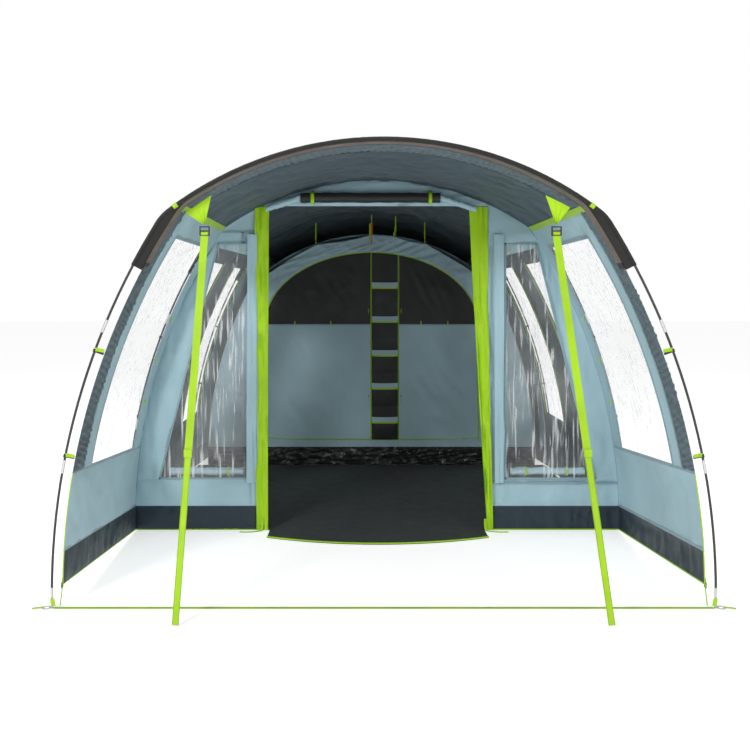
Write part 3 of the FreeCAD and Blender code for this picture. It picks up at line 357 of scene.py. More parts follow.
class Piece:
    """Collects the panels, seams, piping and small parts of one piece."""

    def __init__(self):
        self.points, self.faces, self.maps, self.kinds, self.finishes = [], [], [], [], []
        self.area = self.length = 0.0       # of the flat cloth

    def face(self, corners, spots, finish):
        if finish not in self.finishes:
            self.finishes.append(finish)
        self.faces.append(corners)
        self.maps.append(spots)
        self.kinds.append(self.finishes.index(finish))

    def cloth(self, place, across, along, finish, step=0.03, relief=None, thick=FABRIC,
              pinned=0.05):
        """A panel: u runs over across, v over along, whose ends may depend on u.

        relief(u, v) lifts it off its surface, and dies out within pinned of its edges.
        """
        steps = step if hasattr(step, "__len__") else (step, step)
        u0, u1 = across
        columns = max(2, round(abs(u1 - u0) / steps[0]))
        us = [u0 + (u1 - u0) * i / columns for i in range(columns + 1)]
        reach = max(abs(value_at(along[1], u) - value_at(along[0], u)) for u in us)
        rows = max(2, round(reach / steps[1]))
        spots = []
        for u in us:
            low, high = value_at(along[0], u), value_at(along[1], u)
            spots.append([(u, low + (high - low) * j / rows) for j in range(rows + 1)])
        flat = [[place(u, v) for u, v in line] for line in spots]
        for i in range(columns):
            for j in range(rows):
                one, two = flat[i + 1][j + 1] - flat[i][j], flat[i + 1][j] - flat[i][j + 1]
                self.area += 0.5 * one.cross(two).length
        middle = flat[columns // 2], [line[len(line) // 2] for line in flat]
        for line in middle:
            self.length = max(self.length, sum((b - a).length for a, b in zip(line, line[1:])))
        first = len(self.points)
        for i in range(columns + 1):
            for j in range(rows + 1):
                du = flat[min(i + 1, columns)][j] - flat[max(i - 1, 0)][j]
                dv = flat[i][min(j + 1, rows)] - flat[i][max(j - 1, 0)]
                normal = du.cross(dv).normalized()
                lift = 0.0
                if relief:
                    edge = min(i, columns - i) * steps[0], min(j, rows - j) * steps[1]
                    ease = min(1.0, min(edge) / pinned) if pinned else 1.0
                    lift = relief(*spots[i][j]) * ease * ease * (3.0 - 2.0 * ease)
                self.points.append(flat[i][j] + normal * (lift + 0.5 * thick))
                self.points.append(flat[i][j] + normal * (lift - 0.5 * thick))

        def index(i, j, back):
            return first + 2 * (i * (rows + 1) + j) + back

        def quad(cells, finish):
            self.face([index(*cell) for cell in cells], [spots[c[0]][c[1]] for c in cells], finish)

        for i in range(columns):
            for j in range(rows):
                ring = ((i, j), (i + 1, j), (i + 1, j + 1), (i, j + 1))
                quad([(a, b, 0) for a, b in ring], finish)
                quad([(a, b, 1) for a, b in reversed(ring)], finish)
        for i in range(columns):
            quad([(i, 0, 0), (i, 0, 1), (i + 1, 0, 1), (i + 1, 0, 0)], finish)
            quad([(i + 1, rows, 0), (i + 1, rows, 1), (i, rows, 1), (i, rows, 0)], finish)
        for j in range(rows):
            quad([(0, j + 1, 0), (0, j + 1, 1), (0, j, 1), (0, j, 0)], finish)
            quad([(columns, j, 0), (columns, j, 1), (columns, j + 1, 1), (columns, j + 1, 0)],
                 finish)

    def seam(self, place, start, end, finish="seam", width=None, proud=0.0014, step=0.02,
             thick=FABRIC):
        """A felled seam on a panel's surface, from one (u, v) to another."""
        width = width or sizes().seam
        run = Vector(end) - Vector(start)
        length = run.length
        way = run / length
        side = Vector((way.y, -way.x))

        def spot(a, b):
            there = Vector(start) + way * b + side * a
            return place(there.x, there.y)
        self.cloth(spot, (-0.5 * width, 0.5 * width), (0.0, length), finish,
                   (0.5 * width, step), None, thick + proud)

    def seams_round(self, place, corners, finish, width):
        """Seams round a window, from corner to corner."""
        for a, b in zip(corners, corners[1:] + corners[:1]):
            self.seam(place, a, b, finish, width)

    def piping(self, path, finish="lime_cord", radius=None, sides=6):
        """A round cord along points; radius may be a list, one for each point."""
        radius = radius or sizes().piping
        path = [Vector(p) for p in path]
        radii = radius if hasattr(radius, "__len__") else [radius] * len(path)
        ways = []
        for k in range(len(path)):
            ways.append((path[min(k + 1, len(path) - 1)] - path[max(k - 1, 0)]).normalized())
        side = ways[0].orthogonal().normalized()
        first = len(self.points)
        run = 0.0
        runs = []
        for k, point in enumerate(path):
            side = (side - ways[k] * side.dot(ways[k])).normalized()
            up = ways[k].cross(side)
            run += (path[k] - path[k - 1]).length if k else 0.0
            runs.append(run)
            for n in range(sides):
                angle = 2 * math.pi * n / sides
                self.points.append(point + radii[k] * (side * math.cos(angle)
                                                       + up * math.sin(angle)))
        girth = 2 * math.pi * max(radii) / sides
        for k in range(len(path) - 1):
            for n in range(sides):
                low, high = first + k * sides, first + (k + 1) * sides
                after = (n + 1) % sides
                self.face([low + n, low + after, high + after, high + n],
                          [(n * girth, runs[k]), ((n + 1) * girth, runs[k]),
                           ((n + 1) * girth, runs[k + 1]), (n * girth, runs[k + 1])], finish)
        last = first + (len(path) - 1) * sides
        around = range(sides)
        ring = [(radii[0] * math.cos(n), radii[0] * math.sin(n)) for n in around]
        self.face([first + n for n in reversed(around)], ring, finish)
        self.face([last + n for n in around], ring, finish)

    def tape(self, path, across, width, finish="lime_tape", thick=0.0018, step=0.02,
             relief=None):
        """A flat webbing along points; across is the direction of its width."""
        path = [Vector(p) for p in path]
        runs = [0.0]
        for a, b in zip(path, path[1:]):
            runs.append(runs[-1] + (b - a).length)

        def place(u, v):
            k = max(0, min(len(path) - 2, sum(run <= v for run in runs) - 1))
            share = (v - runs[k]) / (runs[k + 1] - runs[k])
            way = (path[k + 1] - path[k]).normalized()
            wide = (Vector(across) - way * way.dot(Vector(across))).normalized()
            return path[k].lerp(path[k + 1], share) + wide * u
        self.cloth(place, (-0.5 * width, 0.5 * width), (0.0, runs[-1]), finish,
                   (width / 6, step), relief, thick, pinned=0.0)

    def loop(self, centre, radius, x0, x1, finish, thick=0.0016, step=0.006, squash=1.0):
        """A webbing band round a roll that lies along X."""
        def place(u, v):
            angle = v / radius
            return Vector((u, centre[0] + radius * math.cos(angle),
                           centre[1] + squash * radius * math.sin(angle)))
        self.cloth(place, (x0, x1), (0.0, 2 * math.pi * radius), finish, (0.005, step), None,
                   thick)

    def frame(self, centre, wide, high, thick, width, bars, finish="black_plastic"):
        """A moulded ladder buckle: a rounded frame with bars; wide and high are half vectors."""
        centre, wide, high = Vector(centre), Vector(wide), Vector(high)
        ring = []
        for k in range(29):
            angle = 2 * math.pi * k / 28
            c, s = math.cos(angle), math.sin(angle)
            ring.append(centre + wide * math.copysign(abs(c) ** 0.45, c)
                        + high * math.copysign(abs(s) ** 0.45, s))
        self.piping(ring, finish, width, 8)
        for k in range(bars):
            level = high * ((k + 1.0) / (bars + 1.0) * 2.0 - 1.0)
            rise = wide.cross(high).normalized() * thick
            self.piping([centre + level - wide, centre + level + rise, centre + level + wide],
                        finish, 0.8 * width, 8)

    def make(self, name, body="tent", slot=None, replaces=(), held=None, rests_on=()):
        """The finished object, riding on its body; held is not used."""
        mesh = bpy.data.meshes.new(name)
        mesh.from_pydata([tuple(p) for p in self.points], [], self.faces)
        layer = mesh.uv_layers.new(name=CLOTH_MAP)
        flat = [c for spots in self.maps for spot in spots for c in spot]
        layer.uv.foreach_set("vector", flat)
        for finish in self.finishes:
            mesh.materials.append(material(finish))
        mesh.polygons.foreach_set("material_index", self.kinds)
        mesh.polygons.foreach_set("use_smooth", [True] * len(self.faces))
        mesh.set_sharp_from_angle(angle=math.radians(50.0))
        mesh.update()
        piece = bpy.data.objects.new(name, mesh)
        bpy.context.scene.collection.objects.link(piece)
        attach(piece, body)
        if replaces:
            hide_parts(*replaces)
        return piece


# --------------------------------------------------------------------------------------- materials
class Recipe:
    """Lays out the nodes of one material."""

    def __init__(self, name, colour):
        self.material = bpy.data.materials.new(name)
        self.material.use_nodes = True
        self.material.diffuse_color = (*colour, 1.0)
        self.tree = self.material.node_tree
        self.shader = self.tree.nodes["Principled BSDF"]
        self.shader.inputs["Base Color"].default_value = (*colour, 1.0)

    def node(self, kind, inputs=(), **settings):
        made = self.tree.nodes.new("ShaderNode" + kind)
        for key, value in settings.items():
            setattr(made, key, value)
        for socket, value in inputs:
            if isinstance(value, bpy.types.NodeSocket):
                self.tree.links.new(value, made.inputs[socket])
            else:
                made.inputs[socket].default_value = value
        return made

    def here(self):
        return self.node("TexCoord").outputs["Object"]

    def sheet(self):
        return self.node("UVMap", uv_map=CLOTH_MAP).outputs["UV"]

    def patches(self, where, scale, detail=3.0, kind="FBM", distortion=0.0):
        made = self.node("TexNoise", (("Vector", where), ("Scale", scale), ("Detail", detail),
                                      ("Distortion", distortion)), noise_type=kind)
        return made.outputs[0]

    def stretched(self, where, scale, turn=(0.0, 0.0, 0.0)):
        made = self.node("Mapping", (("Vector", where), ("Scale", scale), ("Rotation", turn)))
        return made.outputs[0]

    def threads(self, where, way, pitch):
        """Stripes across the map, one for each thread."""
        made = self.node("TexWave", (("Vector", where), ("Scale", 0.314 / pitch),
                                     ("Detail", 0.0)), bands_direction=way)
        return made.outputs["Fac"]

    def ranged(self, value, low, high, start=0.3, end=0.7):
        made = self.node("MapRange", (("Value", value), ("From Min", start), ("From Max", end),
                                      ("To Min", low), ("To Max", high)))
        return made.outputs[0]

    def combined(self, a, b, kind="MULTIPLY"):
        """Two values multiplied, or put together by another kind of sum."""
        return self.node("Math", ((0, a), (1, b)), operation=kind).outputs[0]

    def mixed(self, share, a, b):
        made = self.node("Mix", ((0, share), (6, a), (7, b)), data_type="RGBA")
        return made.outputs[2]

    def bump(self, height, distance, strength=1.0, under=None):
        inputs = [("Height", height), ("Distance", distance), ("Strength", strength)]
        if under:
            inputs.append(("Normal", under))
        return self.node("Bump", inputs).outputs[0]

    def wear(self, values):
        for socket, value in values.items():
            if isinstance(value, bpy.types.NodeSocket):
                self.tree.links.new(value, self.shader.inputs[socket])
            else:
                self.shader.inputs[socket].default_value = value
        return self.material


def shaded(colour, share):
    return (*[min(1.0, c * share) for c in colour], 1.0)


def fabric(name, colour, roughness=0.62, crease=1.0, sheen=0.12, patch=0.12, pitch=None):
    """Coated polyester: patches of tone, small creases and a plain weave."""
    pitch = pitch or sizes().weave
    r = Recipe(name, colour)
    here, sheet = r.here(), r.sheet()
    cloud = r.ranged(r.patches(here, 2.1, 5.0), 0.0, 1.0)
    tint = r.mixed(cloud, shaded(colour, 1.0 - patch), shaded(colour, 1.0 + 0.7 * patch))
    weave = r.combined(r.threads(sheet, "X", pitch), r.threads(sheet, "Y", pitch))
    tint = r.mixed(r.combined(weave, 0.12), tint, shaded(colour, 0.55))
    soft = r.bump(r.patches(here, 5.0, 4.0, "RIDGED_MULTIFRACTAL", 0.6), 0.008, 0.5 * crease)
    small = r.bump(r.patches(here, 34.0, 3.0), 0.002, 0.4 * crease, soft)
    grain = r.bump(weave, 0.0003, 0.35, small)
    return r.wear({"Base Color": tint, "Normal": grain, "Sheen Weight": sheen,
                   "Sheen Roughness": 0.45, "Specular IOR Level": 0.35,
                   "Roughness": r.ranged(r.patches(here, 11.0), roughness - 0.08,
                                         roughness + 0.1)})


def netting(name, colour):
    """A ribbed mesh band."""
    r = Recipe(name, colour)
    here, sheet = r.here(), r.sheet()
    ribs = r.combined(r.threads(sheet, "X", 0.004), r.threads(sheet, "Y", 0.0035))
    cloud = r.ranged(r.patches(here, 9.0, 4.0), 0.0, 1.0)
    tint = r.mixed(cloud, shaded(colour, 0.72), shaded(colour, 1.12))
    tint = r.mixed(r.combined(ribs, 0.6), tint, shaded(colour, 0.3))
    lift = r.bump(r.patches(here, 30.0), 0.002, 0.4)
    return r.wear({"Base Color": tint, "Normal": r.bump(ribs, 0.0008, 0.6, lift),
                   "Roughness": 0.75, "Sheen Weight": 0.15, "Specular IOR Level": 0.3})


def webbing(name, colour, pitch=0.0022):
    """Woven tape with ribs across it."""
    r = Recipe(name, colour)
    here, sheet = r.here(), r.sheet()
    ribs = r.threads(r.stretched(sheet, (1.0, 1.0, 1.0), (0.0, 0.0, 0.6)), "Y", pitch)
    cloud = r.ranged(r.patches(here, 5.0, 4.0), 0.0, 1.0)
    tint = r.mixed(cloud, shaded(colour, 0.86), shaded(colour, 1.08))
    tint = r.mixed(r.combined(ribs, 0.22), tint, shaded(colour, 0.5))
    lift = r.bump(r.patches(here, 18.0), 0.001, 0.3)
    return r.wear({"Base Color": tint, "Normal": r.bump(ribs, 0.0005, 0.5, lift),
                   "Roughness": 0.58, "Sheen Weight": 0.18, "Sheen Roughness": 0.4,
                   "Specular IOR Level": 0.4})


def stitched(name, colour):
    """A felled seam: doubled cloth with a row of stitches along each edge."""
    r = Recipe(name, colour)
    here, sheet = r.here(), r.sheet()
    spot = r.node("SeparateXYZ", ((0, sheet),))
    across = r.node("Math", ((0, spot.outputs[0]),), operation="ABSOLUTE").outputs[0]
    row = r.ranged(r.combined(across, 0.32 * sizes().seam, "SUBTRACT"), 1.0, 0.0, 0.0, 0.0009)
    dash = r.ranged(r.threads(sheet, "Y", 0.0045), 0.0, 1.0, 0.45, 0.55)
    stitches = r.combined(row, dash)
    cloud = r.ranged(r.patches(here, 6.0), 0.0, 1.0)
    tint = r.mixed(cloud, shaded(colour, 0.88), shaded(colour, 1.08))
    tint = r.mixed(r.combined(stitches, 0.5), tint, shaded(colour, 0.45))
    lift = r.bump(r.patches(here, 60.0), 0.0015, 0.5)
    return r.wear({"Base Color": tint, "Normal": r.bump(stitches, 0.0005, 0.5, lift),
                   "Roughness": 0.6, "Sheen Weight": 0.1, "Specular IOR Level": 0.35})


def clear(name, colour):
    """Clear window film with soft waves that catch the light, and painted reflections: long crossing
    streaks where the white film turns more opaque.
    """
    r = Recipe(name, colour)
    here = r.here()
    turned = r.stretched(here, (60.0, 60.0, 3.0), (0.5, 0.35, 0.0))
    crossed = r.stretched(here, (50.0, 50.0, 4.0), (-0.45, -0.6, 0.0))
    # Painted reflections: two sets of long crossing streaks that make the white film more opaque.
    painted_reflection_streaks = r.ranged(r.patches(turned, 1.0, 2.0), 0.0, 1.0, 0.58, 0.72)
    painted_reflection_crossing = r.ranged(r.patches(crossed, 1.0, 2.0), 0.0, 1.0, 0.60, 0.72)
    haze = r.ranged(r.patches(here, 3.0, 3.0), 0.02, 0.10)
    painted_reflections = r.combined(painted_reflection_streaks, painted_reflection_crossing, "MAXIMUM")
    # The stronger painted reflection streak is added to the film's own haze as opacity.
    alpha = r.combined(haze, r.combined(painted_reflections, 0.34), "ADD")
    waves = r.bump(r.patches(here, 5.0, 2.0), 0.004, 0.4)
    return r.wear({"Alpha": alpha, "Normal": waves, "Roughness": 0.14,
                   "Specular IOR Level": 0.7})


def moulded(name, colour, roughness=0.45):
    """Moulded plastic with a fine grain and random patches of lighter and darker tone."""
    r = Recipe(name, colour)
    here = r.here()
    tint = r.mixed(r.ranged(r.patches(here, 90.0), 0.0, 1.0), shaded(colour, 0.85),
                   shaded(colour, 1.25))
    grain = r.bump(r.patches(here, 900.0), 0.0002, 0.4)
    return r.wear({"Base Color": tint, "Normal": grain, "Specular IOR Level": 0.5,
                   "Roughness": r.ranged(r.patches(here, 60.0), roughness - 0.1,
                                         roughness + 0.1)})


def rod(name, colour):
    """Pultruded glass fibre under a dark coat, with faint lengthwise streaks."""
    r = Recipe(name, colour)
    here = r.here()
    streaks = r.patches(r.stretched(here, (260.0, 260.0, 7.0)), 1.0)
    tint = r.mixed(r.ranged(streaks, 0.0, 1.0), shaded(colour, 0.7), shaded(colour, 1.5))
    return r.wear({"Base Color": tint, "Normal": r.bump(streaks, 0.0002, 0.3),
                   "Roughness": 0.38, "Coat Weight": 0.25, "Coat Roughness": 0.2})


def steel(name, colour):
    """Drawn steel with fine scratches and dull spots."""
    r = Recipe(name, colour)
    here = r.here()
    scratch = r.patches(r.stretched(here, (700.0, 700.0, 40.0)), 1.0)
    dull = r.patches(here, 50.0)
    tint = r.mixed(r.ranged(dull, 0.0, 1.0), shaded(colour, 0.8), shaded(colour, 1.05))
    return r.wear({"Base Color": tint, "Metallic": 1.0, "Normal": r.bump(scratch, 0.0001, 0.4),
                   "Roughness": r.ranged(dull, 0.25, 0.45)})


def floor_paint(name, colour):
    """Plain pale studio floor."""
    r = Recipe(name, colour)
    return r.wear({"Roughness": 0.9, "Specular IOR Level": 0.1,
                   "Emission Color": (1.0, 1.0, 1.0, 1.0), "Emission Strength": 0.52,
                   "Normal": r.bump(r.patches(r.here(), 400.0), 0.0002, 0.1)})


DARK_GREY = tone(27, 27, 25)
SILVER = tone(196, 196, 192)
RED = tone(214, 62, 28)
FINISHES = {
    "roof": lambda n: fabric(n, colours().roof, 0.58),
    "hem": lambda n: fabric(n, colours().hem, 0.6, 1.6, 0.15, 0.2),
    "wall": lambda n: fabric(n, colours().wall, 0.6, 0.8),
    "skirt": lambda n: fabric(n, colours().skirt, 0.5, 1.0, 0.05),
    "night": lambda n: fabric(n, colours().night, 0.5, 0.9, 0.05),
    "band": lambda n: netting(n, colours().taupe),
    "sleeve": lambda n: fabric(n, DARK_GREY, 0.6, 1.2, 0.1, 0.2),
    "ground": lambda n: fabric(n, colours().ground, 0.7, 0.8, 0.0, 0.08, 0.004),
    "tub": lambda n: fabric(n, shaded(colours().ground, 0.42)[:3], 0.28, 2.2, 0.0, 0.2, 0.004),
    "lime_cloth": lambda n: fabric(n, colours().lime, 0.55, 1.0, 0.15, 0.12),
    "lime_tape": lambda n: webbing(n, colours().lime),
    "lime_cord": lambda n: webbing(n, colours().lime, 0.003),
    "lime_plastic": lambda n: moulded(n, colours().lime),
    "red_tape": lambda n: webbing(n, RED),
    "dark_lime": lambda n: webbing(n, shaded(colours().lime, 0.55)[:3]),
    "seam": lambda n: stitched(n, shaded(colours().wall, 0.72)[:3]),
    "roof_seam": lambda n: stitched(n, shaded(colours().roof, 0.75)[:3]),
    "film": lambda n: clear(n, (0.93, 0.95, 0.96)),
    "black_plastic": lambda n: moulded(n, tone(24, 24, 24)),
    "rod": lambda n: rod(n, colours().pole),
    "steel": lambda n: steel(n, SILVER),
    "floor": lambda n: floor_paint(n, (0.8, 0.8, 0.8)),
}


def material(finish):
    made = bpy.data.materials.get(finish)
    return made or FINISHES[finish](finish)


def finish_nodes(finish, *nodes):
    """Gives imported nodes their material."""
    for name in nodes:
        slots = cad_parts[name].data.materials
        slots.clear()
        slots.append(material(finish))


# ---------------------------------------------------------------------------------- poles, sleeves
def section_path(section, d0, d1, y=None, inset=0.0, step=0.03):
    """Points along the outline, upright at y or in the rear arch's plane."""
    count = max(2, round(abs(d1 - d0) / step))
    path = []
    for k in range(count + 1):
        x, z = section.at(d0 + (d1 - d0) * k / count, inset)
        path.append(leaned(x, z) if y is None else Vector((x, y, z)))
    return path


def add_sleeve(name, pole, fly, scale, y=None):
    """A gathered sleeve round the pole, with the web that joins it to the roof."""
    piece = Piece()
    end = pole.drop(SLEEVE_END_Z * scale)
    path = section_path(pole, -end, end, y, 0.0, 0.012)
    radii = []
    for k in range(len(path)):
        swell = 0.0009 * noise.noise(Vector((k * 0.55, scale, 4.0)))
        radii.append(SLEEVE_R - 0.0004 + swell)
    piece.piping(path, "sleeve", radii, 12)

    def web(u, v):
        x0, z0 = pole.at(u, SLEEVE_R - 0.002)
        x1, z1 = fly.at(u * fly.length / pole.length, 0.0006)
        x, z = x0 + (x1 - x0) * v / 0.03, z0 + (z1 - z0) * v / 0.03
        back = (BAND_START - FRONT + 0.004) * v / 0.03
        return leaned(x, z, -back) if y is None else Vector((x, y + back, z))
    piece.cloth(web, (-end, end), (0.0, 0.03), "sleeve", (0.02, 0.01))
    if y == FRONT:
        for side in (-1.0, 1.0):
            d = side * pole.drop(SLEEVE_BAND_Z)
            band = section_path(pole, d - 0.011, d + 0.011, y, 0.0, 0.004)
            piece.piping(band, "lime_tape", SLEEVE_R + 0.0016, 14)
            x, z = pole.at(d, -SLEEVE_R - 0.001)
            rim = [Vector((x + 0.0035 * math.cos(k * math.pi / 6), y - 0.0045,
                           z - 0.006 + 0.0035 * math.sin(k * math.pi / 6))) for k in range(13)]
            piece.piping(rim, "steel", 0.0009, 6)
    return piece.make(name + "_cloth", slot="sleeve_black", replaces=[name])


# ------------------------------------------------------------------------------------------ canopy
def add_canopy():
    """The porch's edge band, gathered hem and roof, with the lime shoulder tapes."""
    roof = on_section(FLY)
    end = FLY.drop(SLEEVE_END_Z)
    fold, gather = sizes().crease, sizes().gather

    band = Piece()
    band.cloth(roof, (-end, end), (BAND_START, BAND_END), "band", (0.012, 0.014),
               gathered(0.06, 0.3 * gather, 1.0), pinned=0.02)
    for side in (-1, 1):
        band.seam(roof, (side * end, BAND_START), (side * end, BAND_END), "sleeve", 0.03)
    band.make("edge_band_cloth", slot="edge_mesh", replaces=["front_edge_band"], held="stretched",
              rests_on=["front_pole"])

    hem = Piece()

    def hem_end(d):
        return HEM_END - 0.006 + 0.01 * rough(d / 0.21, 0.0, 8.0)
    hem.cloth(roof, (-SEAM_D, SEAM_D), (BAND_END + 0.001, hem_end), "hem", (0.007, 0.012),
              together(gathered(0.034, 0.8 * gather, 2.0), crumpled(0.09, 0.6 * fold, 3.0)),
              pinned=0.018)
    hem.seam(roof, (-SEAM_D, BAND_END + 0.004), (SEAM_D, BAND_END + 0.004), "roof_seam", 0.012)
    hem.make("roof_hem_cloth", slot="hem_slate", replaces=["roof_hem_band"], held="gathered",
             rests_on=["edge_band_cloth"])

    canopy = Piece()
    start = HEM_END + 0.0005

    def sag(d, y):
        share = (y - start) / (PORCH_END - start)
        return -0.009 * math.sin(math.pi * share) * math.cos(0.5 * math.pi * d / SEAM_D)
    canopy.cloth(roof, (-SEAM_D, SEAM_D), (start - 0.012, PORCH_END), "roof", 0.018,
                 together(sag, crumpled(0.16, fold, 5.0), drawn(0.2, 0.07, 0.5, 0.5 * fold, 6.0)))
    canopy.seam(roof, (-SEAM_D, start), (SEAM_D, start), "roof_seam")
    canopy.make("porch_roof_cloth", slot="roof_slate", replaces=["porch_roof"], held="stretched",
                rests_on=["roof_hem_cloth", "door_pole"])

    tapes = Piece()
    inside = on_section(FLY, FABRIC + 0.0012)
    low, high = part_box("shoulder_tapes")
    for side in (-1, 1):
        middle = side * (SEAM_D + 0.002)
        tapes.cloth(inside, (middle - 0.018, middle + 0.018), (low.y, high.y), "lime_tape",
                    (0.006, 0.02), drawn(0.0, 0.05, 0.05, 0.0006, 9.0 + side), 0.0012,
                    pinned=0.0)
    tapes.make("shoulder_tape_webbing", slot="lime_webbing", replaces=["shoulder_tapes"],
               held="stretched", rests_on=["porch_roof_cloth"])


# ------------------------------------------------------------------------------------- porch sides
HEM_FOOT_Z = 0.600
PANEL_BACK_Z = 0.500
SKIRT_FRONT_Z = 0.250
SKIRT_LIFT = 0.100
WINDOW_TOP_Z = 1.680
WINDOW_FRONT = HEM_END
WINDOW_BACK = PORCH_END - 0.146
WINDOW_TOGGLES = (0.780, 1.020, 1.260)      # their heights along the window's rear edge


def slope(front_z, back_z):
    """A straight line down the porch's side, as a function of y."""
    def height(y):
        return front_z + (back_z - front_z) * (y - BAND_START) / (PORCH_END - BAND_START)
    return height


WINDOW_LINE = slope(HEM_FOOT_Z, PANEL_BACK_Z)
SKIRT_LINE = slope(SKIRT_FRONT_Z, SKIRT_Z)
SKIRT_BASE = slope(SKIRT_LIFT, 0.004)


def surface_path(place, start, end, step=0.03):
    """Points on a surface along a straight line of its own u and v."""
    start, end = Vector(start), Vector(end)
    count = max(2, round((end - start).length / step))
    spots = [start.lerp(end, k / count) for k in range(count + 1)]
    return [place(spot.x, spot.y) for spot in spots]


def add_toggle(piece, centre, way, length=0.03, finish="lime_plastic", radius=0.0045):
    """A small waisted toggle bar."""
    centre, way = Vector(centre), Vector(way).normalized()
    path, radii = [], []
    for k in range(9):
        share = k / 4.0 - 1.0
        path.append(centre + way * (0.5 * length * share))
        radii.append(radius * (0.62 + 0.38 * share * share) * (0.55 if abs(share) == 1 else 1.0))
    piece.piping(path, finish, radii, 8)


def add_porch_side(side, name):
    """One side of the porch: light panels round the window, with seams and lime edging."""
    place = on_side(side)
    fold = sizes().crease
    seed = 20.0 + side
    piece = Piece()
    front = SIDE_HEM_END + 0.0005
    soft = crumpled(0.2, 0.7 * fold, seed)
    pulled = together(soft, drawn(0.9 * side, 0.11, 0.7, 0.6 * fold, seed + 1))
    piece.cloth(place, (front, WINDOW_FRONT), (WINDOW_LINE, SEAM_Z), "wall", 0.02, soft,
                pinned=0.03)
    piece.cloth(place, (WINDOW_FRONT, WINDOW_BACK), (WINDOW_TOP_Z, SEAM_Z), "wall", 0.02, soft,
                pinned=0.04)
    piece.cloth(place, (WINDOW_BACK, SIDE_END), (WINDOW_LINE, SEAM_Z), "wall", 0.02, pulled,
                pinned=0.03)
    piece.cloth(place, (BAND_START, SIDE_END), (lambda y: SKIRT_LINE(y) + 0.0005, WINDOW_LINE),
                "wall", 0.025, pulled)
    corners = [(WINDOW_FRONT, WINDOW_LINE(WINDOW_FRONT)), (WINDOW_BACK, WINDOW_LINE(WINDOW_BACK)),
               (WINDOW_BACK, WINDOW_TOP_Z), (WINDOW_FRONT, WINDOW_TOP_Z)]
    piece.seams_round(place, corners, "seam", 0.02)
    piece.seam(place, (BAND_START, WINDOW_LINE(BAND_START)), (PORCH_END, WINDOW_LINE(PORCH_END)))
    piece.seam(place, (BAND_START, SKIRT_LINE(BAND_START) + 0.006),
               (PORCH_END, SKIRT_LINE(PORCH_END) + 0.006))
    edge = surface_path(on_side(side, 0.002), (BAND_START, SKIRT_FRONT_Z),
                        (BAND_START, HEM_FOOT_Z))
    piece.piping(edge, "lime_cord", 0.0028)
    for z in WINDOW_TOGGLES:
        spot = place(WINDOW_BACK + 0.012, z)
        inward = Vector((-side, 0.0, 0.0))
        add_toggle(piece, spot + inward * 0.009, (0.0, 0.0, 1.0), 0.028)
        piece.tape([spot + inward * 0.002, spot + inward * 0.007,
                    spot + inward * 0.005 + Vector((0, 0, 0.02))], (0, 1, 0), 0.01, step=0.01)
    piece.make(name + "_cloth", slot="wall_blue", replaces=[name], held="stretched",
               rests_on=["door_pole", "front_pole"])


def add_porch_sides():
    """Both sides of the porch with their hems, windows and skirts."""
    fold, gather = sizes().crease, sizes().gather
    add_porch_side(-1, "porch_side_left")
    add_porch_side(1, "porch_side_right")
    hems, films, skirts = Piece(), Piece(), Piece()
    for side in (-1, 1):
        place = on_side(side)
        seed = 30.0 + side
        folds = together(swapped(gathered(0.03, gather, seed, 0.35)),
                         crumpled(0.06, fold, seed + 2))
        hems.cloth(place, (BAND_START, SIDE_HEM_END), (WINDOW_LINE, SLEEVE_END_Z), "hem",
                   (0.012, 0.007), folds, pinned=0.015)
        hems.cloth(place, (BAND_END + 0.0005, SIDE_HEM_END), (SLEEVE_END_Z, SEAM_Z), "hem",
                   (0.012, 0.007), folds, pinned=0.015)
        hems.seam(place, (SIDE_HEM_END, WINDOW_LINE(SIDE_HEM_END)), (SIDE_HEM_END, SEAM_Z),
                  "seam", 0.012)
        films.cloth(on_side(side, FABRIC + 0.0007), (WINDOW_FRONT - 0.01, WINDOW_BACK + 0.01),
                    (lambda y: WINDOW_LINE(y) - 0.01, WINDOW_TOP_Z + 0.01), "film", 0.03,
                    crumpled(0.3, 0.0012, seed + 4), FILM, pinned=0.1)
        skirts.cloth(place, (BAND_START, SIDE_END), (SKIRT_BASE, SKIRT_LINE), "skirt", 0.018,
                     together(crumpled(0.12, fold, seed + 6),
                              drawn(0.0, 0.05, 0.3, 0.6 * fold, seed + 7)), pinned=0.03)
        lower = surface_path(on_side(side), (BAND_START, SKIRT_BASE(BAND_START) + 0.002),
                             (PORCH_END, SKIRT_BASE(PORCH_END) + 0.002))
        upper = surface_path(on_side(side, 0.003), (BAND_START, SKIRT_BASE(BAND_START)),
                             (BAND_START, SKIRT_LINE(BAND_START)))
        skirts.piping(lower, "lime_cord", 0.0038)
        skirts.piping(upper, "lime_cord", 0.0028)
    hems.make("porch_hem_cloth", slot="hem_slate", replaces=["porch_hems"], held="gathered",
              rests_on=["front_pole"])
    films.make("porch_window_film", slot="clear_film", replaces=["porch_windows"],
               held="stretched", rests_on=["porch_side_left_cloth", "porch_side_right_cloth"])
    skirts.make("porch_skirt_cloth", slot="skirt_slate", replaces=["porch_skirts"], held="hung",
                rests_on=["porch_side_left_cloth", "porch_side_right_cloth"])


